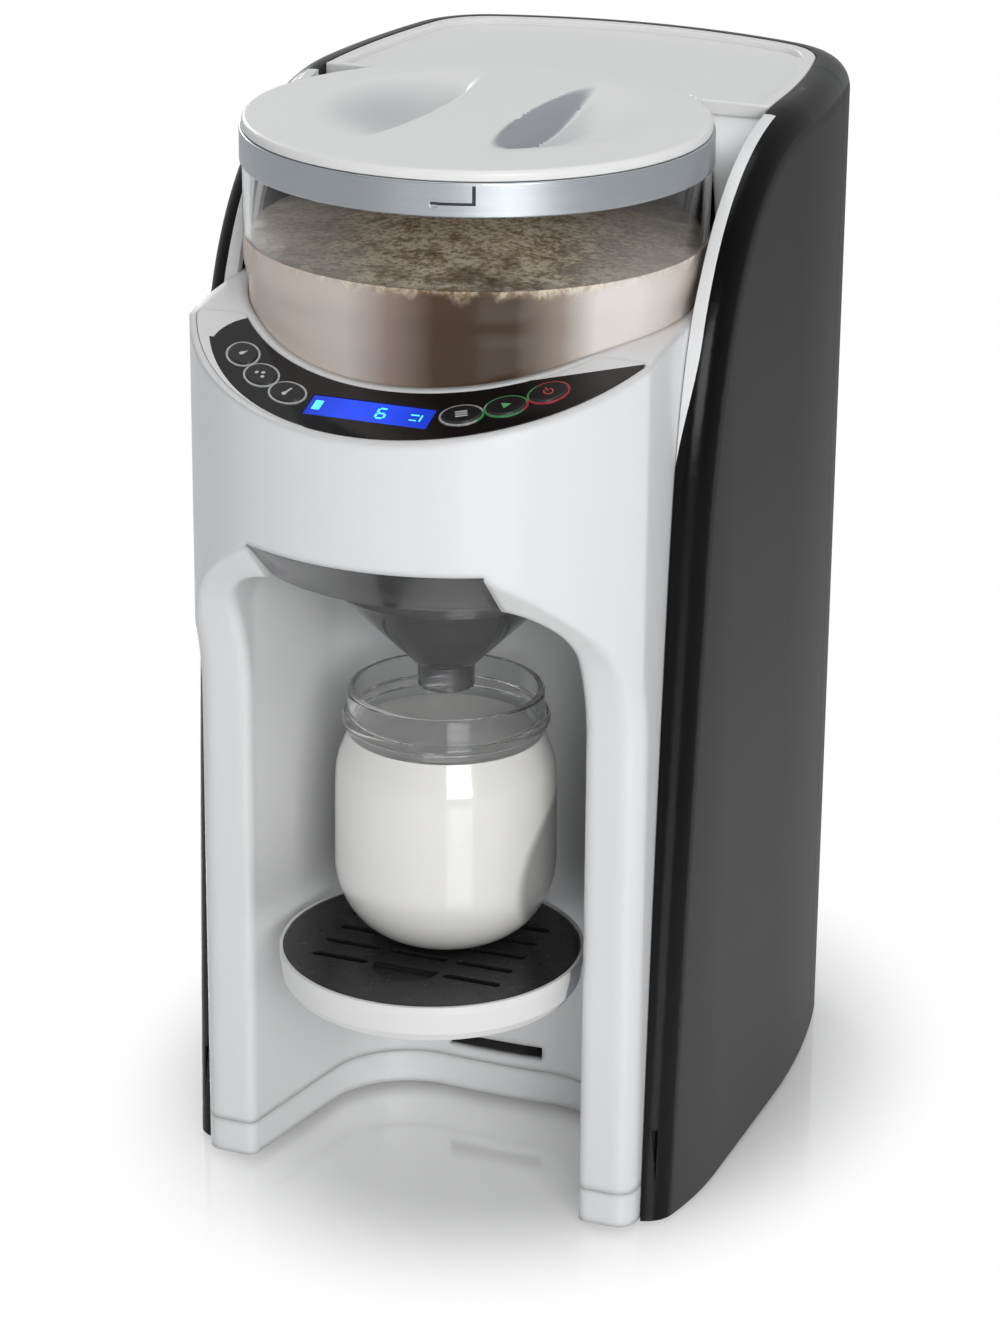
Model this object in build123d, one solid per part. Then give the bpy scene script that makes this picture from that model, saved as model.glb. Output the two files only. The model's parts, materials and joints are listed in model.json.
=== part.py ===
from build123d import *
import math
import os

# Baby formula maker.  Millimetres, +Z up, front towards -Y.
# The origin is on the table, under the middle of the machine's outer box.

# ---- overall ----------------------------------------------------------------
FOOT_HEIGHT = 3.0
SHELL_BOTTOM = 2.0            # lower edge of the dark shell above the table
PLINTH_TOP = 17.0             # seam between plinth and housing
DECK_TOP = 412.0              # top of the dark shell
WALL = 3.0                    # moulded walls of the housing and shell
GAP = 0.3                     # assembly gap between neighbouring mouldings
SEAT = 0.3                    # small air gap where two bodies rest near each other

# ---- dark outer shell -------------------------------------------------------
SHELL_HALF_WIDTH = 104.0
SHELL_FRONT_Y = -90.0
FLANK_FRONT_Y = -42.0         # the sides are straight between these two depths
FLANK_REAR_Y = 30.0
FRONT_BOW_R = 168.0
REAR_BOW_R = 388.0
CROWN_R = 203.5
REAR_CORNER_R = 42.0
SHELL_BACK_Y = 157.0
SHELL_ROLL = 12.0             # radius of the rolled front and top edges
SHELL_OPEN_HALF_WIDTH = SHELL_HALF_WIDTH - 14.0  # clear width between the rolled front edges
COVER_SPLIT_Y = 97.0          # seam between side panels and rear cover

# ---- white front housing ----------------------------------------------------
BULGE_Y = -59.0               # axis of the convex front
HOUSING_HALF_WIDTH = SHELL_OPEN_HALF_WIDTH - 0.4
BULGE_R = HOUSING_HALF_WIDTH + 8.4
HOUSING_BACK_Y = 26.0
LEG_FRONT_Y = -100.0
LEG_CORNER_R = 8.0            # outer corners of the legs
CHIN_Z = 276.0                # lower edge of the convex front
CHIN_SWEEP_Z = 196.0          # height where the leg fronts start to curve forward
CHIN_SWEEP_R = 80.0
BROW_Z0 = 324.0               # control panel surface height at the very front
BROW_SLOPE = 0.35             # its rise towards the container

# ---- bottle bay -------------------------------------------------------------
BAY_HALF_WIDTH = HOUSING_HALF_WIDTH - 22.1
BAY_MOUTH_Y = LEG_FRONT_Y + 5.0
BAY_LIP_R = 4.0               # rounding of the bay's opening edges
BAY_TOP = 257.0
BAY_CORNER_R = 22.0
BAY_CORNER_X = 52.7           # where the bay's sides would meet its back wall
BAY_CORNER_Y = -9.5
BAY_BACK_R = 35.0             # rounding of that corner
BAY_BACK_Y = -14.5

# ---- powder container and its well ------------------------------------------
AXIS_Y = -40.0                # container, dosing wheel and stirrer axis
CONTAINER_R = HOUSING_HALF_WIDTH - 6.6
CONTAINER_WALL = 2.5
WELL_R = CONTAINER_R + 1.6
WELL_FLOOR = 280.0            # upper face of the well's floor
WING_R = CONTAINER_R + 5.2     # wider bore between the wings, clear of the ring
WING_BORE_Z = 352.0
LID_TOP = 415.0
LID_R = CONTAINER_R + 3.2
RING_R = CONTAINER_R + 4.2
RING_TOP = LID_TOP - 4.0
RING_BOTTOM = RING_TOP - 12.5

# ---- dosing mechanism -------------------------------------------------------
BASE_BOTTOM = 280.3           # underside of the container, just above the floor
BASE_TOP = 292.5              # shoulder that carries the container's wall
WHEEL_BOTTOM = 284.3
WHEEL_THICK = 7.9
GEAR_MODULE = 2.0
PRESSURE_ANGLE = 25.0
ADDENDUM = 0.8                # stub teeth, in modules
DEDENDUM = 1.1
BACKLASH = 0.35
WHEEL_TEETH = 56
PINION_TEETH = 12
POCKETS = 8
POCKET_RING_R = 28.0
POCKET_R = 8.5
STIRRER_R = 64.0
STIRRER_TOP = 318.0
POWDER_TOP = RING_BOTTOM - 23.5

PINION_Y = AXIS_Y + GEAR_MODULE * (WHEEL_TEETH + PINION_TEETH) / 2
SHAFT_R = 2.5
OUTLET_R = 10.0               # powder hole in the container's floor

# ---- funnel drawer ----------------------------------------------------------
PLATE_HALF_WIDTH = 45.7       # front plate, which hides the guide rails
PLATE_THICK = 3.0
DRAWER_HALF_WIDTH = 42.4
DRAWER_BACK_Y = -21.0
DRAWER_FLOOR = 257.6
DRAWER_TOP = 268.0
RAIL_Z = 263.6                # underside of the drawer's side rails
RAIL_THICK = 2.6
RAIL_DEPTH = 2.4
FUNNEL_Y = -68.0              # axis of funnel, powder outlet and bottle
FUNNEL_R = 44.0
SPOUT_R = 10.8
SPOUT_BOTTOM = 202.0

# ---- drip tray and bottle ---------------------------------------------------
TRAY_Y = -81.5
TRAY_R = 58.5
TRAY_TOP = 100.0
TRAY_HEIGHT = 16.5
GRILLE_R = 56.9
TONGUE_HALF_WIDTH = 19.0
TONGUE_THICK = 4.0
SLOT_HEIGHTS = (22.0, 87.0, 130.0)
TONGUE_BOTTOM = 87.6
BOTTLE_R = 42.5
BOTTLE_FOOT_R = 15.0          # flat foot inside the wide rounding of the base
BOTTLE_FOOT_HEIGHT = 31.0
FOOT_STEPS = 12
MILK_LEVEL = 176.0
BOTTLE_TOP = 200.8
BOTTLE_WALL = 2.4
NECK_R = 37.2

# ---- control panel ----------------------------------------------------------
LENS_R = 95.0
LENS_Y = -59.5
LENS_INNER_R = 88.0
LENS_END_Y = -95.0
LENS_THICK = 1.6
BUTTON_RING_R = 82.0
BUTTON_RING_Y = -61.0
BUTTON_ANGLES = (-46.0, -35.0, -24.0, 24.0, 35.0, 46.0)
BUTTON_HALF_LENGTH = 7.2
BUTTON_HALF_WIDTH = 5.2
BUTTON_NAMES = ("water_volume_button", "powder_setting_button", "temperature_button",
                "mode_button", "start_button", "power_button")

KEY_STEM_R = 2.0
BEZEL = 0.7                   # width of the bright ring round a key
DISPLAY_Y = -140.0
DISPLAY_HALF_WIDTH = 23.3
DISPLAY_HALF_DEPTH = 5.6
BOARD_HALF_WIDTH = 76.0
BOARD_DEPTH = 8.2             # circuit board below the control surface
BOARD_POSTS = ((-68.0, -106.9), (68.0, -106.9), (0.0, -148.3))

# ---- plinth, feet, rear cover -----------------------------------------------
PLINTH_WALL = 2.5
PLINTH_FLOOR = 2.5
FRONT_FOOT_X = SHELL_HALF_WIDTH - 25.5
REAR_FOOT_X = SHELL_HALF_WIDTH - 32.0
FOOT_SPOTS = ((-FRONT_FOOT_X, -82.0), (FRONT_FOOT_X, -82.0),
              (-REAR_FOOT_X, 120.0), (REAR_FOOT_X, 120.0))
LEG_SCREW_X = HOUSING_HALF_WIDTH - 13.1
LEG_SCREWS = ((-LEG_SCREW_X, -58.0), (LEG_SCREW_X, -58.0))
SIDE_POST_X = SHELL_HALF_WIDTH - 12.0
SHELF_POSTS = ((-SIDE_POST_X, 56.0), (SIDE_POST_X, 56.0), (-48.0, 128.0), (48.0, 128.0))
POST_R = 6.0
SCREW_SPOTS = LEG_SCREWS + SHELF_POSTS
VENT_ROWS = 6
VENT_Z = 60.0
VENT_PITCH = 7.0
COVER_SCREWS = ((-48.0, 36.0), (48.0, 36.0), (-48.0, 236.0), (48.0, 236.0))
BOSS_Y = 128.0 + POST_R + GAP  # front end of the rear cover's screw bosses
GLAND_X = -20.0
GLAND_Z = 32.0
GLAND_PAD = 6.0               # thickened wall round the cord inlet
GLAND_RECESS = 3.6            # depth of the pocket that takes the inlet's flange
GLAND_FLANGE_R = 8.0

# ---- water path -------------------------------------------------------------
NOZZLE_R = 2.6
NOZZLE_Z = 271.6
NOZZLE_TIP_Y = -46.0
TUBE_R = 3.2
TUBE_BORE_R = 2.0
PUMP_X = 45.0
PUMP_Y = 100.0
HEATER_X = -35.0

# ---- water tank -------------------------------------------------------------
TANK_BOTTOM = 256.0
TANK_TOP = DECK_TOP - 9.0
TANK_WALL = 2.4
TANK_FRONT_R = 94.0           # concave front, concentric with the container
TANK_FRONT_Y = 28.0
DOCK_Y = 100.0                # tank valve and its spigot
SEAT_TOP = 255.7              # platform that carries the tank


# ---- clearances and seats of the mechanism ----------------------------------
CHAMBER_FLOOR = WHEEL_BOTTOM - SEAT
WHEEL_ROOM_R = GEAR_MODULE * (WHEEL_TEETH / 2 + ADDENDUM) + 0.7
PINION_ROOM_R = GEAR_MODULE * (PINION_TEETH / 2 + ADDENDUM) + 0.9
METERING_R = CONTAINER_R - 5.6
METERING_TOP = BASE_TOP + 2.2
KIDNEY_SWEEP = 70.0           # three inlet sectors, none above the outlet
KIDNEY_STARTS = (-42.0, 69.0, 151.0)
PINION_TOP = WHEEL_BOTTOM + WHEEL_THICK - 0.6
PIN_R = 4.0
SPINDLE_R = 5.9
HEX_R = 5.2
ARM_BOTTOM = METERING_TOP + 4
WINDOW_TOP = RING_TOP - 7.0    # upper end of the clear cylinder, inside the ring
RING_MOUTH_R = CONTAINER_R - CONTAINER_WALL
SKIRT_R = RING_MOUTH_R - 0.4
LID_SKIRT_BOTTOM = RING_TOP - 8.0
SCOOP_R = LID_R - 20.2
SCOOP_Y = AXIS_Y + 8
SCOOP_BAR_X = 16.0
SCOOP_DEPTH = 8.5
TONGUE_END_Y = -4.0
SLOT_PITCH = 13.0
SLOT_LENGTH = 23.0
SLOT_WIDTH = 3.6
DECK_FRONT_Y = HOUSING_BACK_Y + 0.5
DECK_FRONT_R = WING_R + 2.6 + 0.4
DECK_RIM = 5.5
DECK_RECESS = 2.4
VALVE_COLLAR_R = 12.0
VALVE_BORE_R = 9.0
VALVE_THROAT_R = 6.0
DOCK_R = 13.0
SHELF_THICK = 5.0
SHELF_FRONT_Y = 30.0
SHELF_FRONT_R = 93.0
CHASSIS_Y = 36.0
CHASSIS_TOP = 246.0
CHASSIS_HALF_WIDTH = SHELL_HALF_WIDTH - 18.0
HEATER_PORT_Y = CHASSIS_Y + 16
NOZZLE_TAIL_Y = -10.0
PUMP_PORT_X = 8.0


def box(x0, x1, y0, y1, z0, z1):
    """Axis-aligned block between two corners."""
    size = (x1 - x0, y1 - y0, z1 - z0)
    return Pos(x0, y0, z0) * Box(*size, align=(Align.MIN, Align.MIN, Align.MIN))


def cyl(radius, z0, z1, x=0.0, y=0.0):
    """Upright cylinder between two heights."""
    up = (Align.CENTER, Align.CENTER, Align.MIN)
    return Pos(x, y, z0) * Cylinder(radius, z1 - z0, align=up)


def tube(outer, inner, z0, z1, x=0.0, y=0.0):
    """Upright ring between two heights."""
    return cyl(outer, z0, z1, x, y) - cyl(inner, z0 - 1, z1 + 1, x, y)


def spin(points, x=0.0, y=0.0):
    """Solid of revolution from (radius, height) corners about an upright axis."""
    wire = Polyline(*[(r, 0, z) for r, z in points], close=True)
    return Pos(x, y, 0) * revolve(make_face(wire), Axis.Z)


def group(pieces):
    """Several separate solids exported as one node."""
    return Compound(children=list(pieces))


def save(name, shape):
    export_step(shape, f"parts/{name}.step")


# ---- outlines shared by several pieces --------------------------------------
def bow_x(radius, inset, y):
    """Half-width on an arc that runs tangent into the straight flank, y beyond it."""
    return SHELL_HALF_WIDTH - radius + math.sqrt((radius - inset) ** 2 - y ** 2)


def shell_corner(inset):
    """Where the tapering side would meet the crowned back, before rounding."""
    ax, ay, a_r = SHELL_HALF_WIDTH - REAR_BOW_R, FLANK_REAR_Y, REAR_BOW_R - inset
    by, b_r = SHELL_BACK_Y - CROWN_R, CROWN_R - inset
    gap = math.hypot(ax, by - ay)
    along = (a_r ** 2 - b_r ** 2 + gap ** 2) / (2 * gap)
    across = math.sqrt(a_r ** 2 - along ** 2)
    ux, uy = -ax / gap, (by - ay) / gap
    return ax + along * ux - across * uy, ay + along * uy + across * ux


def shell_plan(inset=0.0):
    """Plan of the dark shell: bowed sides, rounded back corners, crowned back."""
    half = SHELL_HALF_WIDTH - inset
    y0 = SHELL_FRONT_Y + inset
    corner_x, corner_y = shell_corner(inset)
    edges = []
    for side in (1, -1):
        reach = y0 - FLANK_FRONT_Y
        bow = ThreePointArc((side * bow_x(FRONT_BOW_R, inset, reach), y0),
                            (side * bow_x(FRONT_BOW_R, inset, reach / 2), FLANK_FRONT_Y + reach / 2),
                            (side * half, FLANK_FRONT_Y))
        flank = Line((side * half, FLANK_FRONT_Y), (side * half, FLANK_REAR_Y))
        reach = corner_y - FLANK_REAR_Y
        taper = ThreePointArc((side * half, FLANK_REAR_Y),
                              (side * bow_x(REAR_BOW_R, inset, reach / 2), FLANK_REAR_Y + reach / 2),
                              (side * corner_x, corner_y))
        edges += [bow.edge(), flank.edge(), taper.edge()]
    front = bow_x(FRONT_BOW_R, inset, y0 - FLANK_FRONT_Y)
    crown = ThreePointArc((corner_x, corner_y), (0, SHELL_BACK_Y - inset), (-corner_x, corner_y))
    edges += [crown.edge(), Line((-front, y0), (front, y0)).edge()]
    face = make_face(edges)
    rear = [v for v in face.vertices() if v.Y > corner_y - 0.1]
    return fillet(rear, REAR_CORNER_R - inset)


def seam_profile(inset=0.0):
    """Side view of the dark shell: its front edge leans back, then sweeps over."""
    top = DECK_TOP - inset
    seam = Spline((SHELL_FRONT_Y + inset, SHELL_BOTTOM), (-75 + inset, 250),
                  (-48 + inset, top - 46), (40, top),
                  tangents=[(0.05, 1), (1, 0)])
    back = Polyline((40, top), (SHELL_BACK_Y + 20, top), (SHELL_BACK_Y + 20, SHELL_BOTTOM),
                    (SHELL_FRONT_Y + inset, SHELL_BOTTOM))
    face = make_face(seam.edges() + back.edges())
    return Plane.YZ * face


def shell_solid(inset, roll):
    """Filled dark shell, shrunk by inset, with its front and top edges rolled."""
    prism = extrude(shell_plan(inset), DECK_TOP + 5)
    profile = extrude(seam_profile(inset), SHELL_HALF_WIDTH + 10, both=True)
    body = prism & profile
    rim = [e for e in body.edges() if is_rolled_edge(e, inset)]
    return fillet(rim, roll)


def is_rolled_edge(edge, inset):
    """True on the seam edges and round the top of the side and back walls."""
    box_ = edge.bounding_box()
    on_side = min(abs(box_.min.X), abs(box_.max.X)) > SHELL_OPEN_HALF_WIDTH
    seam = on_side and box_.size.Z > 200
    level = box_.size.Z < 0.01 and box_.min.Z > DECK_TOP - inset - 0.1
    return seam or level


def deck_plan(inset=0.0):
    """Plan of the white deck inside the rolled top edge of the shell."""
    return shell_plan(SHELL_ROLL + 1.5 + inset)


def dark_shell():
    """One-piece blank of the dark shell, later cut into panels and cover."""
    shell = shell_solid(0, SHELL_ROLL) - Pos(0, 0, -20) * shell_solid_core()
    mouth = extrude(deck_plan(), 200)
    shell -= Pos(0, 0, 300) * mouth
    half = SHELL_OPEN_HALF_WIDTH
    return shell - box(-half, half, -130, 45, -1, DECK_TOP + 5)


def shell_solid_core():
    """Space inside the dark shell, long enough to leave it open below."""
    core = shell_solid(WALL, SHELL_ROLL - WALL)
    foot = extrude(shell_plan(WALL), 60)
    return Pos(0, 0, 20) * core + foot



# ---- front housing ----------------------------------------------------------
def housing_plan(inset=0.0, back=HOUSING_BACK_Y):
    """Plan of the housing: convex front, straight sides behind the seam."""
    half = HOUSING_HALF_WIDTH - inset
    radius = BULGE_R - inset
    shoulder = BULGE_Y - math.sqrt(radius ** 2 - half ** 2)
    front = ThreePointArc((-half, shoulder), (0, BULGE_Y - radius), (half, shoulder))
    rest = Polyline((half, shoulder), (half, back), (-half, back), (-half, shoulder))
    return make_face(front.edges() + rest.edges())


def brow_height(y):
    """Height of the sloping control surface at a given depth."""
    return BROW_Z0 + BROW_SLOPE * (y - (BULGE_Y - BULGE_R))


def side_profile(curves):
    """Wide block from a closed outline drawn in depth (Y) and height (Z)."""
    face = Plane.YZ * make_face([edge for curve in curves for edge in curve.edges()])
    return extrude(face, SHELL_HALF_WIDTH + 20, both=True)


def below_brow(drop=0.0):
    """Everything below the housing's top surface, lowered by drop."""
    tip_y = BULGE_Y - BULGE_R - 5
    tip = (tip_y, brow_height(tip_y) - drop)
    knee = (-100, brow_height(-100) - drop)
    top = DECK_TOP - drop
    rise = Spline(knee, (-60, 349 - drop), (-28, 355 - drop), (-9, top - 40),
                  (9, top - 15), (34, top - 3.5), tangents=[(1, BROW_SLOPE), (1, 0.1)])
    rest = Polyline((34, top - 3.5), (60, top - 3), (60, -1), (tip_y, -1), tip, knee)
    return side_profile([rise, rest])


def brow_slab(top, bottom):
    """Slab parallel to the control surface, between two depths below it."""
    y0, y1 = BULGE_Y - BULGE_R - 5, LENS_END_Y + 30
    return side_profile([Polyline((y0, brow_height(y0) - top), (y1, brow_height(y1) - top),
                                  (y1, brow_height(y1) - bottom), (y0, brow_height(y0) - bottom),
                                  close=True)])


def chin_cone(inset=0.0):
    """Cone under the convex front, with the full radius above the chin line."""
    low_r = 30.0
    low_z = CHIN_Z - (BULGE_R - low_r)
    return spin([(0, DECK_TOP), (BULGE_R - inset, DECK_TOP), (BULGE_R - inset, CHIN_Z + inset / 2),
                 (low_r - inset, low_z + inset / 2), (0, low_z + inset / 2)], y=BULGE_Y)


def front_flare(inset=0.0):
    """Legs' flat front, sweeping forward in an arc into the convex front."""
    y0 = LEG_FRONT_Y + inset
    z0 = CHIN_SWEEP_Z + inset
    bend = CHIN_SWEEP_R * math.sin(math.radians(45))
    flat = CHIN_SWEEP_R - bend
    mid = (y0 - CHIN_SWEEP_R * (1 - math.cos(math.radians(22.5))),
           z0 + CHIN_SWEEP_R * math.sin(math.radians(22.5)))
    end = (y0 - flat, z0 + bend)
    tip = (end[0] - 60, end[1] + 60)
    sweep = ThreePointArc((y0, z0), mid, end)
    rest = Polyline(end, tip, (tip[0], DECK_TOP), (60, DECK_TOP), (60, -1), (y0, -1), (y0, z0))
    return side_profile([sweep, rest])


def leg_block(inset=0.0):
    """Block behind the legs' fronts, its outer front corners rounded."""
    half = HOUSING_HALF_WIDTH - inset
    block = front_flare(inset) & box(-half, half, -300, 60, -1, DECK_TOP)
    corners = [e for e in block.edges() if abs(abs(e.center().X) - half) < 0.01
               and e.center().Y < LEG_FRONT_Y + inset + 1 and e.center().Z < BROW_Z0]
    return fillet(corners, LEG_CORNER_R - inset)


def bay_lip(body):
    """The body with the front edges of the bottle bay rounded."""
    lip = []
    for edge in body.edges():
        size = edge.bounding_box()
        nearest = min(abs(size.min.X), abs(size.max.X))
        farthest = max(abs(size.min.X), abs(size.max.X))
        in_mouth = size.max.Y < LEG_FRONT_Y + 0.5 and size.max.Z < BAY_TOP + 0.5
        if in_mouth and edge.length > 12 and nearest > 44 and farthest < BAY_HALF_WIDTH + 0.5:
            if size.size.Z > 1:
                lip.append(edge)
    return fillet(lip, BAY_LIP_R)


def bay_plan():
    """Plan of the bottle bay: legs curve in to a back wall that bows forward."""
    half, corner_x, corner_y = BAY_HALF_WIDTH, BAY_CORNER_X, BAY_CORNER_Y
    back = ThreePointArc((corner_x, corner_y), (0, BAY_BACK_Y), (-corner_x, corner_y))
    front = Polyline((-corner_x, corner_y), (-half, BAY_MOUTH_Y), (-half, -200),
                     (half, -200), (half, BAY_MOUTH_Y), (corner_x, corner_y))
    face = make_face(back.edges() + front.edges())
    return fillet([v for v in face.vertices() if abs(v.Y - corner_y) < 0.1], BAY_BACK_R)


def bay(grow=0.0):
    """Space of the bottle bay, with rounded upper corners at its mouth."""
    plan = offset(bay_plan(), grow) if grow else bay_plan()
    half, top = BAY_HALF_WIDTH + grow, BAY_TOP + grow
    arch = Pos(0, top / 2 - 30) * RectangleRounded(2 * half, top + 60, BAY_CORNER_R + grow)
    return extrude(plan, BAY_TOP + 10) & extrude(Plane.XZ * arch, 220, both=True)


def drawer_slot(grow=0.0):
    """Slot of the funnel drawer above the bay, open to the front."""
    half = DRAWER_HALF_WIDTH + GAP + grow
    side = half + RAIL_DEPTH
    slot = box(-half, half, -170, DRAWER_BACK_Y + 1 + grow, BAY_TOP - 4, CHIN_Z - 1)
    rails = box(-side, side, -170, DRAWER_BACK_Y + 1 + grow,
                RAIL_Z - GAP - grow, RAIL_Z + RAIL_THICK + GAP + grow)
    return slot + rails


def housing_hollow():
    """Inside of the housing's walls, clear of the bay, the well and the drawer."""
    space = extrude(housing_plan(WALL), DECK_TOP) & below_brow(WALL + 2)
    space &= leg_block(WALL) + chin_cone(WALL)
    space -= bay(WALL)
    space -= cyl(WELL_R + WALL, WELL_FLOOR - 4, DECK_TOP, y=AXIS_Y)
    return space - drawer_slot(WALL)


def tub():
    """Round wall behind the container, stepped out above the wings."""
    low = cyl(WELL_R + WALL, WELL_FLOOR - 4, WING_BORE_Z, y=AXIS_Y)
    high = cyl(WING_R + 2.6, WING_BORE_Z - 3, DECK_TOP, y=AXIS_Y)
    half = HOUSING_HALF_WIDTH
    return (low + high) & box(-half, half, -200, 200, 0, DECK_TOP)


def front_housing():
    """White moulding: convex front, legs, bottle bay, container well and wings."""
    body = extrude(housing_plan(), DECK_TOP) & (leg_block() + chin_cone())
    body -= box(-120, 120, -200, 60, -1, PLINTH_TOP)
    body = bay_lip(body - bay())
    body = body + tub()
    body &= below_brow()
    body -= drawer_slot()
    body -= housing_hollow()
    body -= cyl(WELL_R, WELL_FLOOR, DECK_TOP, y=AXIS_Y)
    body -= cyl(WING_R, WING_BORE_Z, DECK_TOP, y=AXIS_Y)
    plate_space = box(-PLATE_HALF_WIDTH - GAP, PLATE_HALF_WIDTH + GAP, -170, -100,
                      BAY_TOP - 4, CHIN_Z) - chin_cone(PLATE_THICK + GAP)
    body -= plate_space
    body -= cyl(OUTLET_R + 3, CHIN_Z - 5, WELL_FLOOR + 1, y=FUNNEL_Y)
    body -= cyl(4.5, CHIN_Z - 5, WELL_FLOOR + 1, y=PINION_Y)
    body -= nozzle_run(NOZZLE_R + GAP)
    for height in SLOT_HEIGHTS:
        body -= box(-TONGUE_HALF_WIDTH - 1, TONGUE_HALF_WIDTH + 1, -20, -2,
                    height, height + TONGUE_THICK + 1.6)
    body -= crescent(GAP, -6, LENS_THICK + GAP)
    body -= display_block(GAP, 12)
    for plane in button_planes():
        body -= button_well(plane)
    for x, y in BOARD_POSTS:
        plane = brow_plane(x, y)
        body += extrude(plane.offset(-BOARD_DEPTH) * Circle(1.9), BOARD_DEPTH - 3)
    for x, y in LEG_SCREWS:
        side = math.copysign(1, x)
        rib = box(min(x, x + side * 11), max(x, x + side * 11), y - 1, y + 1, PLINTH_TOP, PLINTH_TOP + 16)
        body += cyl(5, PLINTH_TOP, PLINTH_TOP + 16, x, y) + rib
        body -= cyl(1.7, PLINTH_TOP - 1, PLINTH_TOP + 12, x, y)
    return body


# ---- control panel ----------------------------------------------------------
def crescent(grow, top, bottom):
    """Crescent of the control lens between two depths below the surface."""
    outer = Pos(0, LENS_Y) * Circle(LENS_R + grow)
    inner = Pos(0, AXIS_Y) * Circle(LENS_INNER_R - grow)
    keep = Pos(0, LENS_END_Y + grow - 50) * Rectangle(220, 100)
    plan = (outer - inner) & keep
    plan = fillet(plan.vertices(), 2.5)
    return extrude(plan, DECK_TOP) & brow_slab(top, bottom)


def brow_plane(x, y):
    """Work plane on the control surface, its normal pointing out of the panel."""
    tilt = math.degrees(math.atan(BROW_SLOPE))
    return Plane(origin=(x, y, brow_height(y)), x_dir=(1, 0, 0),
                 z_dir=(0, -math.sin(math.radians(tilt)), math.cos(math.radians(tilt))))


def button_planes():
    """Planes of the six keys, their long axis along the crescent."""
    planes = []
    for angle in BUTTON_ANGLES:
        turn = math.radians(angle)
        flat = brow_plane(BUTTON_RING_R * math.sin(turn),
                          BUTTON_RING_Y - BUTTON_RING_R * math.cos(turn))
        planes.append(Plane(flat.location * Rot(0, 0, angle)))
    return planes


def key_block(plane, grow, low, high):
    """Oval prism on a key's plane, larger than the key cap by grow."""
    oval = Ellipse(BUTTON_HALF_LENGTH + grow, BUTTON_HALF_WIDTH + grow)
    return extrude(plane.offset(low) * oval, high - low)


def button_well(plane):
    """Oval well for a key's travel and the round hole for its stem."""
    stem_hole = extrude(plane.offset(-12) * Circle(KEY_STEM_R + 0.3), 12)
    return key_block(plane, GAP, -3.2, 2) + stem_hole


def button_cap(plane):
    """Oval key with a dished crown and a stem down to its switch."""
    cap = key_block(plane, 0, -1.7, 0.9)
    crown = cap.edges().filter_by(GeomType.ELLIPSE).sort_by(Axis.Z)[-1]
    cap = fillet(crown, 0.6)
    return cap + extrude(plane.offset(-6.8) * Circle(KEY_STEM_R), 5.5)


def button_bezels():
    """Bright oval rings round the six keys, standing just proud of the lens."""
    rings = []
    for plane in button_planes():
        ring = key_block(plane, BEZEL + 0.15, -LENS_THICK + 0.1, 0.35)
        rings.append(ring - key_block(plane, 0.15, -4, 2))
    return rings


def display_block(grow, depth):
    """Block of the display window along the panel's normal."""
    plane = brow_plane(0, DISPLAY_Y)
    size = Rectangle(2 * DISPLAY_HALF_WIDTH + 2 * grow, 2 * DISPLAY_HALF_DEPTH + 2 * grow)
    return extrude(plane.offset(-depth) * size, depth + 3)


def panel_lens():
    """Glossy crescent lens with openings for the keys and the display."""
    lens = crescent(0, 0, LENS_THICK)
    for plane in button_planes():
        lens -= key_block(plane, BEZEL + 0.3, -5, 3)
    return lens - display_block(GAP, 6)


def display_module():
    """Display glass in a deeper frame that stands on the control board."""
    plane = brow_plane(0, DISPLAY_Y)
    glass = Rectangle(2 * DISPLAY_HALF_WIDTH, 2 * DISPLAY_HALF_DEPTH)
    frame = Rectangle(2 * DISPLAY_HALF_WIDTH - 3, 2 * DISPLAY_HALF_DEPTH - 2)
    body = extrude(plane.offset(-4) * glass, 3.8)
    return body + extrude(plane.offset(-BOARD_DEPTH) * frame, BOARD_DEPTH - 4)


def control_board():
    """Crescent circuit board with a dome switch under each key."""
    outer = Pos(0, LENS_Y) * Circle(LENS_R - 3.5)
    inner = Pos(0, AXIS_Y) * Circle(WELL_R + WALL + 0.8)
    keep = Pos(0, -150) * Rectangle(2 * BOARD_HALF_WIDTH, 100)
    plan = (outer - inner) & keep
    tilt = math.cos(math.atan(BROW_SLOPE))
    board = extrude(plan, DECK_TOP) & brow_slab(BOARD_DEPTH / tilt, (BOARD_DEPTH + 1.6) / tilt)
    for plane in button_planes():
        board += extrude(plane.offset(-BOARD_DEPTH - 0.1) * Circle(3), 0.4)
    return board


# ---- plinth, feet and outer shell -------------------------------------------
def foot_plan(inset):
    """Plan of the plinth: legs in front, the inside of the shell behind."""
    front = LEG_FRONT_Y + inset
    width = 2 * (HOUSING_HALF_WIDTH - inset)
    legs = Pos(0, front + 100) * RectangleRounded(width, 200, LEG_CORNER_R - inset)
    rear = shell_plan(WALL + GAP + inset)
    grown = offset(bay_plan(), inset) if inset else bay_plan()
    plan = legs + rear - grown
    lip = [v for v in plan.vertices() if v.Y < front + 0.01 and abs(v.X) < BAY_HALF_WIDTH + inset + 1]
    return fillet(lip, BAY_LIP_R - inset)


def base_plinth():
    """Shallow tray under the machine, following legs, bay and shell."""
    body = extrude(foot_plan(0), PLINTH_TOP - GAP) - box(-120, 120, -200, 200, -1, FOOT_HEIGHT)
    room = Pos(0, 0, FOOT_HEIGHT + PLINTH_FLOOR) * extrude(foot_plan(PLINTH_WALL), 40)
    body -= room
    for x, y in FOOT_SPOTS:
        body += cyl(6, FOOT_HEIGHT, PLINTH_TOP - 6, x, y)
        body -= cyl(3.05, 0, 8, x, y)
    for x, y in SCREW_SPOTS:
        body += cyl(5, FOOT_HEIGHT, PLINTH_TOP - GAP, x, y)
        body -= cyl(4, 0, 7, x, y)
        body -= cyl(1.8, 0, PLINTH_TOP + 1, x, y)
    return body


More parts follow.
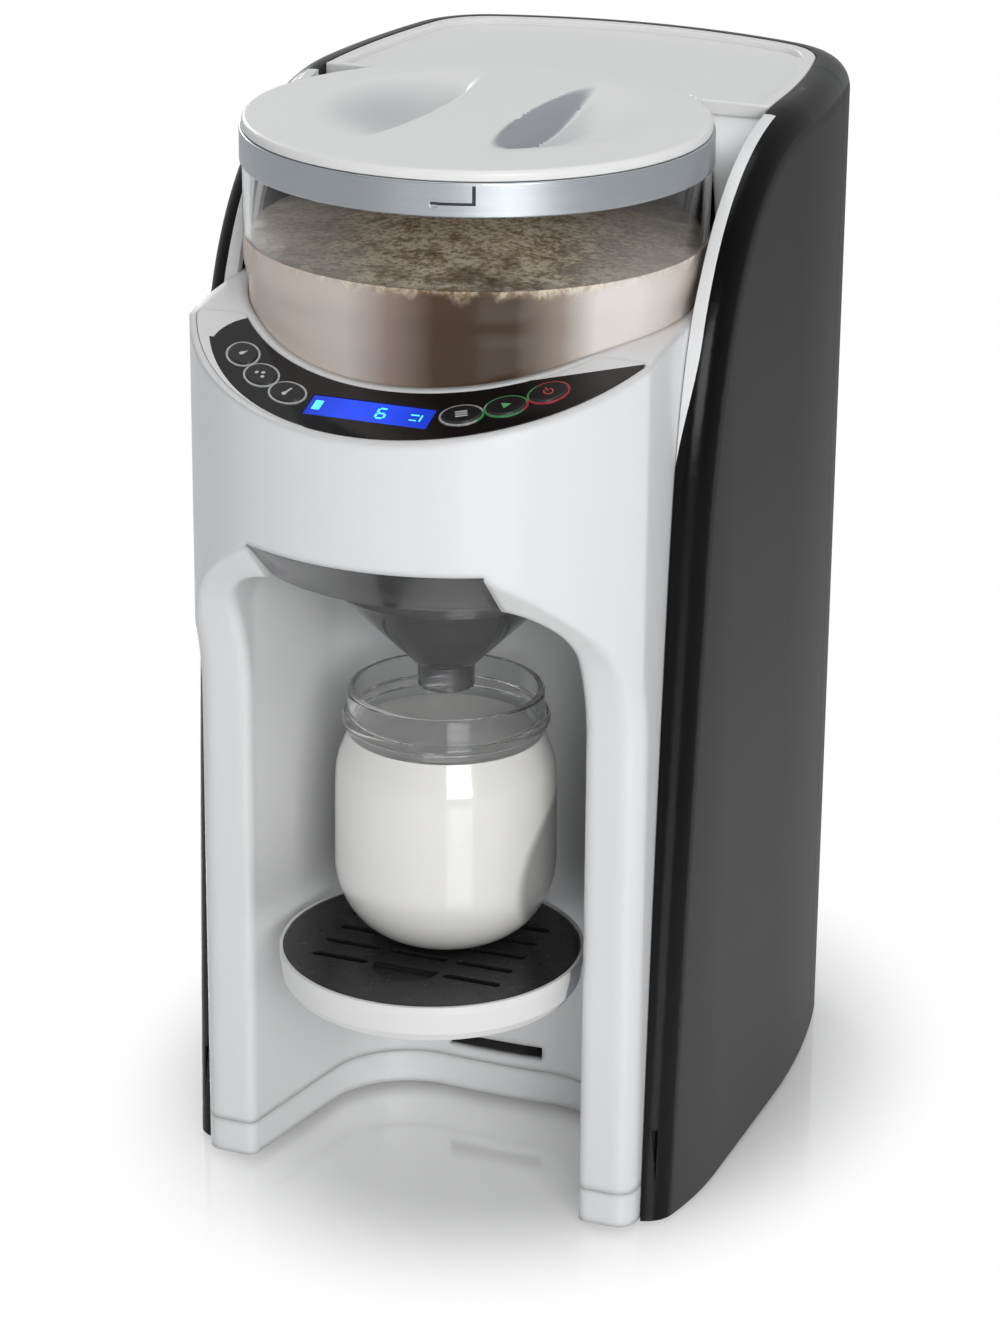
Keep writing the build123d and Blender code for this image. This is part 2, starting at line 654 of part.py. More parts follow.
def rubber_feet():
    """Four feet, each a tapered pad with a stem pressed into the plinth."""
    profile = [(0, 0), (6.2, 0), (7.5, FOOT_HEIGHT - 0.05), (3, FOOT_HEIGHT - 0.05), (3, 7.5), (0, 7.5)]
    return [spin(profile, x, y) for x, y in FOOT_SPOTS]


def pan_screw(length):
    """Pan-head screw pointing up, its head's outer face at the origin."""
    head = cyl(3.2, 0, 2.2)
    head = fillet(head.edges().sort_by(Axis.Z)[:1], 0.7)
    drive = box(-2.2, 2.2, -0.5, 0.5, -1, 0.9) + box(-0.5, 0.5, -2.2, 2.2, -1, 0.9)
    return head + cyl(1.6, 2.2, length) - drive


def base_screws():
    """Screws from below that hold the plinth to the housing and shelf posts."""
    return [Pos(x, y, 4.7) * pan_screw(16) for x, y in SCREW_SPOTS]


def side_panel(blank, x0, x1):
    """Dark side of the shell, cut from the blank between two widths."""
    return blank & box(x0, x1, -120, COVER_SPLIT_Y - GAP / 2, 0, DECK_TOP + 5)


def rear_cover(blank):
    """Rounded back of the shell with vents, screw bosses and the cable gland's hole."""
    cover = blank & box(-130, 130, COVER_SPLIT_Y + GAP / 2, 200, 0, DECK_TOP + 5)
    for row in range(VENT_ROWS):
        z = VENT_Z + row * VENT_PITCH
        for x in (-34, 34):
            slot = Pos(x, 150, z) * Rot(90, 0, 0) * SlotOverall(44, 3.2)
            cover -= extrude(slot, 30, both=True)
    back = Rot(-90, 0, 0)
    for x, z in COVER_SCREWS:
        cover += Pos(x, BOSS_Y, z) * back * cyl(5.5, 0, cover_depth(x) - BOSS_Y - 1)
        cover -= Pos(x, BOSS_Y + 4, z) * back * cyl(3.7, 0, 60)
        cover -= Pos(x, BOSS_Y - 1, z) * back * cyl(1.8, 0, 10)
    outside = cover_depth(GLAND_X)
    pad = Pos(GLAND_X, outside - GLAND_PAD, GLAND_Z) * back
    cover += pad * cyl(GLAND_FLANGE_R + 4, 0, GLAND_PAD - 1)
    cover -= pad * Pos(0, 0, GLAND_PAD - GLAND_RECESS) * cyl(GLAND_FLANGE_R + 1, 0, 20)
    return cover - Pos(GLAND_X, 120, GLAND_Z) * back * cyl(6.2, 0, 60)


def cover_depth(x):
    """Y of the back wall's outer face at a given X, close to its crown."""
    return SHELL_BACK_Y - 9 * (x / 60) ** 2


def cover_screws():
    """Screws in the rear cover's bosses, heads at the bottom of their wells."""
    turn = Rot(90, 0, 0)
    return [Pos(x, BOSS_Y + 6.2, z) * turn * pan_screw(14) for x, z in COVER_SCREWS]

# ---- powder container -------------------------------------------------------
def container_base():
    """Floor of the container: wheel chamber, pinion notch, outlet, spigot."""
    base = cyl(CONTAINER_R, BASE_BOTTOM, BASE_TOP, y=AXIS_Y)
    base = chamfer(base.edges().filter_by(GeomType.CIRCLE).sort_by(Axis.Z)[0], 1.5)
    base += cyl(CONTAINER_R - CONTAINER_WALL - 0.1, BASE_TOP, BASE_TOP + 10, y=AXIS_Y)
    base -= cyl(METERING_R + 0.2, BASE_TOP, BASE_TOP + 11, y=AXIS_Y)
    base -= cyl(WHEEL_ROOM_R, CHAMBER_FLOOR, BASE_TOP + 1, y=AXIS_Y)
    base -= cyl(PINION_ROOM_R, BASE_BOTTOM - 1, PINION_TOP + 0.6, y=PINION_Y)
    base -= box(-PINION_ROOM_R, PINION_ROOM_R, PINION_Y, PINION_Y + 30,
                BASE_BOTTOM - 1, PINION_TOP + 0.6)
    base -= cyl(OUTLET_R, BASE_BOTTOM - 1, CHAMBER_FLOOR + 1, y=FUNNEL_Y)
    base += cyl(8, BASE_BOTTOM, CHAMBER_FLOOR, y=AXIS_Y)
    return base - cyl(PIN_R + 0.06, BASE_BOTTOM + 0.8, CHAMBER_FLOOR + 1, y=AXIS_Y)


def container_body():
    """Clear cylinder of the container, its lower lip rounded outward."""
    wall = tube(CONTAINER_R, CONTAINER_R - CONTAINER_WALL, BASE_TOP, WINDOW_TOP, y=AXIS_Y)
    return wall


def container_ring():
    """Steel ring round the mouth, with an engraved closing mark."""
    ring = tube(RING_R, CONTAINER_R + 0.05, RING_BOTTOM, WINDOW_TOP, y=AXIS_Y)
    ring += tube(RING_R, RING_MOUTH_R, WINDOW_TOP, RING_TOP, y=AXIS_Y)
    outer = [e for e in ring.edges().filter_by(GeomType.CIRCLE) if abs(e.radius - RING_R) < 0.01]
    ring = fillet(outer, 0.6)
    depth = 0.35
    band = tube(RING_R + 1, RING_R - depth, RING_BOTTOM, RING_TOP, y=AXIS_Y)
    mark_x, mark_z = 18.0, RING_BOTTOM + 4.5
    mark = box(mark_x - 1, mark_x + 14, -200, AXIS_Y, mark_z, mark_z + 0.8)
    mark += box(mark_x + 13.2, mark_x + 14, -200, AXIS_Y, mark_z, RING_TOP - 1.2)
    mark += Pos(mark_x, -160, mark_z + 0.4) * Rot(90, 0, 0) * Cylinder(1.6, 100)
    return ring - (mark & band)


def ring_sector(outer, inner, z0, z1, start, sweep):
    """Sector of a ring about the container's axis, angles in degrees."""
    steps = 3
    reach = outer + 20
    points = [(0.0, 0.0)]
    for i in range(steps + 1):
        angle = math.radians(start + sweep * i / steps)
        points.append((reach * math.cos(angle), reach * math.sin(angle)))
    wedge = extrude(Pos(0, AXIS_Y, z0) * make_face(Polyline(*points, close=True)), z1 - z0)
    return tube(outer, inner, z0, z1, y=AXIS_Y) & wedge


def metering_plate():
    """Plate over the dosing wheel: open kidney everywhere but above the outlet."""
    plate = cyl(METERING_R, BASE_TOP, METERING_TOP, y=AXIS_Y)
    plate -= cyl(SPINDLE_R + 0.06, BASE_TOP - 1, METERING_TOP + 1, y=AXIS_Y)
    outer = POCKET_RING_R + POCKET_R
    inner = POCKET_RING_R - POCKET_R
    for start in KIDNEY_STARTS:
        plate -= ring_sector(outer, inner, BASE_TOP - 1, METERING_TOP + 1, start, KIDNEY_SWEEP)
    return plate


def powder_scraper():
    """Wiper block clipped over the outlet, with two raised edges."""
    z0 = METERING_TOP
    wiper = ring_sector(POCKET_RING_R + 14, POCKET_RING_R - 12, z0, z0 + 1.6, -122, 64)
    for start in (-122, -63):
        wiper += ring_sector(POCKET_RING_R + 14, POCKET_RING_R - 12, z0, z0 + 2.6, start, 5)
    return wiper


def gear_outline(teeth, backlash):
    """Involute gear outline with stub teeth, centred on the origin, first tooth on +X."""
    pitch = GEAR_MODULE * teeth / 2
    tip = pitch + ADDENDUM * GEAR_MODULE
    root = pitch - DEDENDUM * GEAR_MODULE
    alpha = math.radians(PRESSURE_ANGLE)
    base = pitch * math.cos(alpha)
    start = max(base, root)
    half_pitch = math.pi / (2 * teeth) - backlash / (2 * pitch)
    inv = math.tan(alpha) - alpha

    def flank_angle(radius):
        t = math.acos(min(1.0, base / radius))
        return half_pitch + inv - (math.tan(t) - t)

    radii = [start + (tip - start) * k / 3 for k in range(4)]
    points = []
    for tooth in range(teeth):
        middle = 2 * math.pi * tooth / teeth
        right = [(root, -flank_angle(start))] if root < start else []
        right += [(r, -flank_angle(r)) for r in radii]
        left = [(r, -a) for r, a in reversed(right)]
        for radius, angle in right + left:
            points.append((radius * math.cos(middle + angle), radius * math.sin(middle + angle)))
    return make_face(Polyline(*points, close=True))


def dosing_wheel():
    """Toothed wheel that carries powder in eight through pockets."""
    top = WHEEL_BOTTOM + WHEEL_THICK
    outline = Rot(0, 0, 90) * gear_outline(WHEEL_TEETH, BACKLASH)
    wheel = Pos(0, AXIS_Y, WHEEL_BOTTOM) * extrude(outline, WHEEL_THICK)
    for pocket in range(POCKETS):
        angle = math.radians(-90 + 360 * pocket / POCKETS)
        wheel -= cyl(POCKET_R, WHEEL_BOTTOM - 1, top + 1,
                     POCKET_RING_R * math.cos(angle), AXIS_Y + POCKET_RING_R * math.sin(angle))
    lightening = tube(49, 41, top - 4, top + 1, y=AXIS_Y)
    hub = extrude(Pos(0, AXIS_Y, WHEEL_BOTTOM - 1) * RegularPolygon(HEX_R + 0.05, 6), WHEEL_THICK + 2)
    return wheel - lightening - hub


def stirrer():
    """Spindle through wheel and plate, with two bent arms that keep powder moving."""
    top = WHEEL_BOTTOM + WHEEL_THICK
    rotor = cyl(PIN_R, BASE_BOTTOM + 1.2, WHEEL_BOTTOM, y=AXIS_Y)
    rotor += extrude(Pos(0, AXIS_Y, WHEEL_BOTTOM) * RegularPolygon(HEX_R, 6), WHEEL_THICK)
    rotor += cyl(SPINDLE_R, top, METERING_TOP + 0.4, y=AXIS_Y)
    rotor += cyl(9, METERING_TOP + 0.4, ARM_BOTTOM + 12, y=AXIS_Y)
    dome = rotor.edges().filter_by(GeomType.CIRCLE).sort_by(Axis.Z)[-1]
    rotor = fillet(dome, 3)
    arm = box(0, STIRRER_R, -2.5, 2.5, ARM_BOTTOM, ARM_BOTTOM + 4)
    arm += box(STIRRER_R - 4, STIRRER_R, -2.5, 2.5, ARM_BOTTOM, STIRRER_TOP)
    arm += box(30, 34, -2.5, 2.5, ARM_BOTTOM, ARM_BOTTOM + 11)
    for turn in (20, 200):
        rotor += Pos(0, AXIS_Y, 0) * Rot(0, 0, turn) * arm
    return rotor


def drive_pinion():
    """Pinion on the motor shaft, turned half a tooth so that it meshes at rest."""
    turn = -90 + 180 / PINION_TEETH
    outline = Pos(0, PINION_Y) * Rot(0, 0, turn) * gear_outline(PINION_TEETH, BACKLASH)
    pinion = extrude(Pos(0, 0, WHEEL_BOTTOM) * outline, PINION_TOP - WHEEL_BOTTOM)
    pinion += cyl(5, WELL_FLOOR + 1, WHEEL_BOTTOM, y=PINION_Y)
    return pinion - cyl(SHAFT_R, WELL_FLOOR, PINION_TOP + 1, y=PINION_Y)


def dosing_motor():
    """Gear motor under the well floor, with a bearing for its shaft."""
    top = WELL_FLOOR - 4
    motor = cyl(16, top - 10, top, y=PINION_Y) + cyl(13.5, top - 40, top - 10, y=PINION_Y)
    edge = motor.edges().filter_by(GeomType.CIRCLE).sort_by(Axis.Z)[0]
    motor = fillet(edge, 2)
    motor += cyl(4, top - 43, top - 40, y=PINION_Y)
    for x in (-4, 4):
        motor += box(x - 1, x + 1, PINION_Y + 6, PINION_Y + 6.8, top - 46, top - 39)
    return motor - cyl(SHAFT_R + 0.06, top - 22, top + 1, y=PINION_Y)


def motor_shaft():
    """Output shaft of the gear motor, up through the well floor to the pinion."""
    shaft = cyl(SHAFT_R, WELL_FLOOR - 25, PINION_TOP - 0.2, y=PINION_Y)
    return shaft


def formula_powder():
    """Heap of powder with a slightly uneven top and room for the turning arms."""
    outer = CONTAINER_R - CONTAINER_WALL - 0.1
    inner = METERING_R + 0.1
    step = BASE_TOP + 10.1
    top = POWDER_TOP
    profile = [(0, METERING_TOP + 3), (STIRRER_R + 2, METERING_TOP + 3), (inner, METERING_TOP + 0.1),
               (inner, step), (outer, step), (outer, top - 3), (60, top - 1), (30, top + 3), (0, top + 5)]
    heap = spin(profile, y=AXIS_Y)
    return heap - cyl(STIRRER_R + 2, METERING_TOP, STIRRER_TOP + 1.5, y=AXIS_Y)


# ---- lid --------------------------------------------------------------------
def lid():
    """Lid with a central grip bar between two scooped hollows."""
    body = cyl(LID_R, RING_TOP + SEAT, LID_TOP, y=AXIS_Y)
    rim = body.edges().filter_by(GeomType.CIRCLE).sort_by(Axis.Z)
    body = fillet(rim[-1], 1.6)
    body += cyl(SKIRT_R, LID_SKIRT_BOTTOM, RING_TOP + SEAT, y=AXIS_Y)
    scoop = lid_scoop(0)
    under = cyl(SKIRT_R - 2.5, LID_SKIRT_BOTTOM - 1, LID_TOP - 2.5, y=AXIS_Y)
    for shell in (lid_scoop(2.5), lid_scoop(2.5).mirror(Plane.YZ)):
        under -= shell
    body -= under
    groove = tube(SKIRT_R + 1, SKIRT_R - 0.4, LID_SKIRT_BOTTOM + 1, LID_SKIRT_BOTTOM + 3.5, y=AXIS_Y)
    return body - scoop - scoop.mirror(Plane.YZ) - groove


def lid_scoop(grow):
    """Hollow beside the grip bar: deep at the bar, running out at the rim."""
    reach = SCOOP_R + grow
    plan = Pos(0, SCOOP_Y) * Circle(reach)
    plan &= Pos(SCOOP_BAR_X - grow + 100, SCOOP_Y) * Circle(100)
    depth = SCOOP_DEPTH + grow
    slope = Plane.XZ * make_face(Polyline(
        (0, LID_TOP + 10), (0, LID_TOP - depth), (SCOOP_BAR_X + 12, LID_TOP - depth),
        (SCOOP_R + grow, LID_TOP - 0.5 - grow), (SCOOP_R + grow, LID_TOP + 10), close=True))
    body = extrude(plan, LID_TOP + 10) & extrude(slope, 200, both=True)
    return body


def lid_gasket():
    """Soft ring under the lid's flange, over the mouth of the container."""
    return tube(SKIRT_R + 0.25, SKIRT_R - 0.4, LID_SKIRT_BOTTOM + 1, LID_SKIRT_BOTTOM + 3.5, y=AXIS_Y)


# ---- funnel drawer ----------------------------------------------------------
def funnel_drawer():
    """Smoked drawer: curved front plate, guide rails, funnel and spout."""
    half = DRAWER_HALF_WIDTH
    frame = box(-half, half, -150, DRAWER_BACK_Y, DRAWER_FLOOR, DRAWER_TOP)
    frame += box(-half - RAIL_DEPTH, half + RAIL_DEPTH, -150, DRAWER_BACK_Y,
                 RAIL_Z, RAIL_Z + RAIL_THICK)
    frame &= chin_cone(1.0)
    inside = box(-half + 2, half - 2, -160, DRAWER_BACK_Y - 2, DRAWER_FLOOR + 2, DRAWER_TOP + 1)
    frame -= inside & chin_cone(PLATE_THICK)
    plate = box(-PLATE_HALF_WIDTH, PLATE_HALF_WIDTH, -170, -100, DRAWER_FLOOR - 1, CHIN_Z - GAP)
    plate &= chin_cone() - chin_cone(PLATE_THICK)
    funnel_top = DRAWER_FLOOR + 2
    outer = [(0, SPOUT_BOTTOM), (SPOUT_R, SPOUT_BOTTOM), (SPOUT_R, 211), (12.5, 212),
             (FUNNEL_R, 243.5), (FUNNEL_R, BAY_TOP - GAP), (half - 0.2, BAY_TOP - GAP),
             (half - 0.2, funnel_top), (0, funnel_top)]
    bore = SPOUT_R - 1.8
    inner = [(0, SPOUT_BOTTOM - 1), (bore, SPOUT_BOTTOM - 1), (bore, 211.6), (10.9, 212.6),
             (FUNNEL_R - 2, 244.3), (FUNNEL_R - 2, 250), (half - 2.2, BAY_TOP - 2),
             (half - 2.2, funnel_top + 1), (0, funnel_top + 1)]
    drawer = frame + plate + spin(outer, y=FUNNEL_Y)
    return drawer - spin(inner, y=FUNNEL_Y)


# ---- drip tray and bottle ---------------------------------------------------
def tray_dish():
    """Tapered round dish with a ledge for the grille and a tongue at the back."""
    z0, z1 = TRAY_TOP - TRAY_HEIGHT, TRAY_TOP
    dish = spin([(0, z0), (TRAY_R - 7.5, z0), (TRAY_R - 3.5, z0 + 1.6), (TRAY_R - 1.2, z0 + 5),
                 (TRAY_R, z1 - 3), (TRAY_R, z1), (0, z1)], y=TRAY_Y)
    dish -= spin([(0, z0 + 2.5), (TRAY_R - 11, z0 + 2.5), (TRAY_R - 5.5, z0 + 6.5),
                  (TRAY_R - 5.5, z1 - 3.4), (GRILLE_R + 0.2, z1 - 3.4), (GRILLE_R + 0.2, z1 + 1),
                  (0, z1 + 1)], y=TRAY_Y)
    tongue = box(-TONGUE_HALF_WIDTH, TONGUE_HALF_WIDTH, TRAY_Y + TRAY_R - 16, TONGUE_END_Y,
                 TONGUE_BOTTOM, TONGUE_BOTTOM + TONGUE_THICK)
    tongue -= cyl(TRAY_R - 7, z0 - 1, z1 + 1, y=TRAY_Y)
    return dish + tongue


def grille_slots():
    """Centres of the drain slots, in rows that leave the rim and middle whole."""
    spots = []
    for row in range(-3, 4):
        y = row * SLOT_PITCH
        for x in (-27.0, 0.0, 27.0):
            in_hollow = abs(x) < 1 and y < -20
            if math.hypot(abs(x) + SLOT_LENGTH / 2, y) < GRILLE_R - 4 and not in_hollow:
                spots.append((x, y))
    return spots


def tray_grille():
    """Soft mat with drain slots and a half-moon hollow at the front."""
    top = TRAY_TOP
    mat = cyl(GRILLE_R, top - 3.3, top, y=TRAY_Y)
    mat = fillet(mat.edges().filter_by(GeomType.CIRCLE).sort_by(Axis.Z)[-1], 0.8)
    slot = extrude(Pos(0, 0, top - 5) * SlotOverall(SLOT_LENGTH, SLOT_WIDTH), 8)
    for x, y in grille_slots():
        mat -= Pos(x, TRAY_Y + y, 0) * slot
    moon = Circle(13) & Pos(0, -10) * Rectangle(40, 20)
    hollow = extrude(Pos(0, TRAY_Y - 24, top - 1.6) * moon, 4)
    return mat - hollow


def bottle_profile(inset=0.0):
    """Side of the bottle: widely rounded base, straight wall, shoulder, neck."""
    z0 = TRAY_TOP + SEAT + inset
    reach = BOTTLE_R - BOTTLE_FOOT_R
    side = []
    for step in range(FOOT_STEPS + 1):
        turn = math.radians(90 * step / FOOT_STEPS)
        side.append((BOTTLE_FOOT_R - inset + reach * math.sin(turn),
                     z0 + (BOTTLE_FOOT_HEIGHT - inset) * (1 - math.cos(turn))))
    shoulder = BOTTLE_TOP - 29.8
    return side + [(BOTTLE_R - 0.3 - inset, shoulder - 8), (BOTTLE_R - 1 - inset, shoulder),
                   (BOTTLE_R - 3.5 - inset, shoulder + 7.5), (NECK_R - inset, shoulder + 12)]


def bottle_glass():
    """Glass bottle with a bead under a plain round mouth."""
    side = bottle_profile()
    bead = BOTTLE_TOP - 11.8
    neck = [(NECK_R, bead - 2.4), (NECK_R + 1.8, bead - 1.6), (NECK_R + 2.4, bead),
            (NECK_R + 1.8, bead + 1.6), (NECK_R, bead + 2.4), (NECK_R + 0.2, BOTTLE_TOP - 0.8),
            (NECK_R - 0.6, BOTTLE_TOP), (NECK_R - 1.6, BOTTLE_TOP)]
    inside = [(NECK_R - BOTTLE_WALL, BOTTLE_TOP - 0.8), (NECK_R - BOTTLE_WALL, BOTTLE_TOP - 17.8)]
    inside += list(reversed(bottle_profile(BOTTLE_WALL)[:-1]))
    foot = TRAY_TOP + SEAT
    bottom = [(0, foot + BOTTLE_WALL), (0, foot + 1.2), (BOTTLE_FOOT_R - 3, foot + 1.2),
              (BOTTLE_FOOT_R - 1.5, foot)]
    return spin(side + neck + inside + bottom, y=FUNNEL_Y)


def milk():
    """Prepared formula filling the bottle up to its shoulder."""
    side = bottle_profile(BOTTLE_WALL + 0.05)[:-2]
    side.append((BOTTLE_R - 2.8 - BOTTLE_WALL, MILK_LEVEL))
    return spin([(0, side[0][1])] + side + [(0, MILK_LEVEL)], y=FUNNEL_Y)


# ---- water tank -------------------------------------------------------------
def tank_plan(inset, front_y, front_r):
    """Plan of tank and lid: inside of the deck, concave towards the container."""
    plan = deck_plan(inset)
    plan &= Pos(0, front_y + 150) * Rectangle(260, 300)
    return plan - Pos(0, AXIS_Y) * Circle(front_r)


def tank_body():
    """Water tank, open at the top, with a valve collar in its floor."""
    outer = extrude(tank_plan(2.2, TANK_FRONT_Y, TANK_FRONT_R), TANK_TOP)
    inner = extrude(tank_plan(2.2 + TANK_WALL, TANK_FRONT_Y + TANK_WALL,
                              TANK_FRONT_R + TANK_WALL), TANK_TOP + 5)
    upright = [e for e in outer.edges().filter_by(Axis.Z) if e.length > 100]
    outer = fillet(upright, 4)
    body = outer - box(-120, 120, -50, 200, -1, TANK_BOTTOM)
    body -= inner - box(-120, 120, -50, 200, -1, TANK_BOTTOM + TANK_WALL)
    body += cyl(VALVE_COLLAR_R, TANK_BOTTOM, TANK_BOTTOM + 9, y=DOCK_Y)
    body -= cyl(VALVE_BORE_R, TANK_BOTTOM + 5, TANK_BOTTOM + 10, y=DOCK_Y)
    body -= cyl(VALVE_THROAT_R, TANK_BOTTOM - 1, TANK_BOTTOM + 6, y=DOCK_Y)
    return body


def tank_lid():
    """White deck over the tank: raised rim round a shallow recess."""
    z0, z1 = TANK_TOP + SEAT, DECK_TOP
    body = extrude(tank_plan(GAP, DECK_FRONT_Y, DECK_FRONT_R), z1)
    body -= box(-120, 120, -50, 200, -1, z0)
    body -= Pos(0, 0, z1 - DECK_RECESS) * extrude(
        tank_plan(GAP + DECK_RIM, DECK_FRONT_Y + 4, DECK_FRONT_R + DECK_RIM), 10)
    edge = body.edges().group_by(Axis.Z)[-1]
    body = fillet(edge, 0.9)
    room = extrude(tank_plan(GAP + 2.2, DECK_FRONT_Y + 2.2, DECK_FRONT_R + 2.2),
                   z1 - DECK_RECESS - 2.2)
    body -= room
    fit = 2.2 + TANK_WALL + 0.3
    skirt = extrude(tank_plan(fit, TANK_FRONT_Y + TANK_WALL + 0.3, TANK_FRONT_R + TANK_WALL + 0.3), z1 - 4)
    core = extrude(tank_plan(fit + 2, TANK_FRONT_Y + TANK_WALL + 2.3,
                             TANK_FRONT_R + TANK_WALL + 2.3), z1)
    skirt -= core + box(-120, 120, -50, 200, -1, TANK_TOP - 6)
    return body + skirt


def valve_plunger():
    """Plunger with a sealing disc that closes the tank's throat from inside."""
    z0 = TANK_BOTTOM + 5 + SEAT
    return (cyl(VALVE_BORE_R - 0.6, z0, z0 + 2.2, y=DOCK_Y)
            + cyl(2.0, TANK_BOTTOM + 0.8, TANK_BOTTOM + 26, y=DOCK_Y))


def valve_cage():
    """Cage on the tank's valve collar that guides the plunger."""
    top = TANK_BOTTOM + 22
    cage = tube(VALVE_COLLAR_R, VALVE_COLLAR_R - 2, TANK_BOTTOM + 9, top, y=DOCK_Y)
    cage += tube(VALVE_COLLAR_R, 2.1, top - 2, top, y=DOCK_Y)
    for turn in (0, 90):
        window = Pos(0, DOCK_Y, 0) * Rot(0, 0, turn) * box(-4, 4, -20, 20, TANK_BOTTOM + 11, top - 3)
        cage -= window
    return cage


def valve_spring():
    """Spring between the plunger's disc and the top of its cage."""
    z0 = TANK_BOTTOM + 5 + SEAT + 2.2
    height = TANK_BOTTOM + 20 - z0
    path = Pos(0, DOCK_Y, z0 + 0.5) * Helix(pitch=(height - 1) / 4, height=height - 1, radius=4)
    section = Plane(origin=path @ 0, z_dir=path % 0) * RegularPolygon(0.42, 6)
    return sweep(section, path=path, is_frenet=True)


def tank_shelf():
    """Shelf that carries the tank, on four posts standing on the plinth."""
    plan = shell_plan(WALL + GAP) & Pos(0, SHELF_FRONT_Y + 150) * Rectangle(260, 300)
    plan -= Pos(0, AXIS_Y) * Circle(SHELF_FRONT_R)
    shelf = extrude(plan, SEAT_TOP) - box(-120, 120, -50, 200, -1, SEAT_TOP - SHELF_THICK)
    for x, y in SHELF_POSTS:
        shelf += cyl(POST_R, PLINTH_TOP, SEAT_TOP - 1, x, y)
        shelf -= cyl(1.7, PLINTH_TOP - 1, PLINTH_TOP + 10, x, y)
    for x, z in COVER_SCREWS:
        shelf -= Pos(x, BOSS_Y + 1, z) * Rot(90, 0, 0) * cyl(1.7, 0, 10)
    shelf -= cyl(DOCK_R + 0.15, SEAT_TOP - SHELF_THICK - 1, SEAT_TOP + 1, y=DOCK_Y)
    return shelf


def tank_dock():
    """Cup in the shelf with the pin that lifts the tank's plunger; spigot below."""
    low = SEAT_TOP - SHELF_THICK
    dock = cyl(DOCK_R, low, SEAT_TOP, y=DOCK_Y) + cyl(DOCK_R + 3, low - 2, low, y=DOCK_Y)
    dock += cyl(TUBE_R + 2, low - 16, low, y=DOCK_Y)
    dock -= cyl(DOCK_R - 2.5, low + 1, SEAT_TOP + 1, y=DOCK_Y)
    dock -= cyl(TUBE_BORE_R, low - 17, low + 2, y=DOCK_Y)
    dock -= cyl(TUBE_R + 0.05, low - 17, low - 8, y=DOCK_Y)
    dock += box(-DOCK_R + 2, DOCK_R - 2, DOCK_Y - 0.6, DOCK_Y + 0.6, low + 1, low + 3)
    return dock + cyl(1.5, low + 1, TANK_BOTTOM + 0.5, y=DOCK_Y)


def dock_seal():
    """Soft ring in the dock's cup, just under the tank's throat."""
    low = SEAT_TOP - SHELF_THICK
    return tube(DOCK_R - 2.6, VALVE_THROAT_R - 1, low + 3.1, SEAT_TOP - 0.2, y=DOCK_Y)


# ---- water path and electrics -----------------------------------------------
def hose(points, bend=14.0):
    """Hose of straight runs and even bends through the given corners."""
    path = FilletPolyline(*points, radius=bend)
    section = Plane(origin=path @ 0, z_dir=path % 0) * (Circle(TUBE_R) - Circle(TUBE_BORE_R))
    return sweep(section, path=path)


def chassis_plate():
    """Sheet plate across the machine that carries heater and main board."""
    plate = box(-CHASSIS_HALF_WIDTH, CHASSIS_HALF_WIDTH, CHASSIS_Y, CHASSIS_Y + 2, PLINTH_TOP, CHASSIS_TOP)
    plate -= box(-50, 30, CHASSIS_Y - 1, CHASSIS_Y + 3, CHASSIS_TOP - 26, CHASSIS_TOP + 1)
    plate += box(-CHASSIS_HALF_WIDTH, CHASSIS_HALF_WIDTH, CHASSIS_Y, CHASSIS_Y + 14,
                 PLINTH_TOP, PLINTH_TOP + 2)
    for x in (-60, 0, 60):
        plate -= Pos(x, CHASSIS_Y, 60) * Box(16, 10, 30)
    return plate


def heater_block():
    """Flow-through water heater: finned casting with a port at each end."""
    y0 = CHASSIS_Y + 2
    block = box(HEATER_X - 26, HEATER_X + 26, y0, y0 + 30, 112, 208)
    block = fillet(block.edges().filter_by(Axis.Z), 5)
    for row in range(8):
        z = 118 + row * 11
        block -= box(HEATER_X - 40, HEATER_X + 40, y0 + 25, y0 + 40, z, z + 5)
    block += tube(4.5, TUBE_R + 0.05, 98, 112, HEATER_X, HEATER_PORT_Y)
    block += tube(4.5, TUBE_R + 0.05, 208, 222, HEATER_X, HEATER_PORT_Y)
    return block


def water_pump():
    """Pump head on top of its motor, with inlet and outlet spigots."""
    pump = cyl(19, 62, 84, PUMP_X, PUMP_Y)
    pump = fillet(pump.edges().filter_by(GeomType.CIRCLE), 2)
    for x in (-PUMP_PORT_X, PUMP_PORT_X):
        pump += tube(4.5, TUBE_R + 0.05, 84, 98, PUMP_X + x, PUMP_Y)
    return pump


def pump_motor():
    """Upright motor of the pump, standing on the plinth's floor."""
    floor = FOOT_HEIGHT + PLINTH_FLOOR
    motor = cyl(15.5, floor + 3, 62, PUMP_X, PUMP_Y) + cyl(20, floor, floor + 3, PUMP_X, PUMP_Y)
    return motor + tube(16.5, 15.4, 24, 48, PUMP_X, PUMP_Y)


def supply_hose():
    """Hose from the tank dock down to the pump's inlet."""
    top = SEAT_TOP - SHELF_THICK - 8.5
    inlet_x = PUMP_X - PUMP_PORT_X
    return hose([(0, DOCK_Y, top), (0, DOCK_Y, 200), (inlet_x, PUMP_Y, 150), (inlet_x, PUMP_Y, 84.2)])


def feed_hose():
    """Hose from the pump's outlet across to the heater's lower port."""
    outlet_x = PUMP_X + PUMP_PORT_X
    return hose([(outlet_x, PUMP_Y, 84.2), (outlet_x, PUMP_Y, 110),
                 (HEATER_X, HEATER_PORT_Y, 82), (HEATER_X, HEATER_PORT_Y, 111.8)], bend=9)


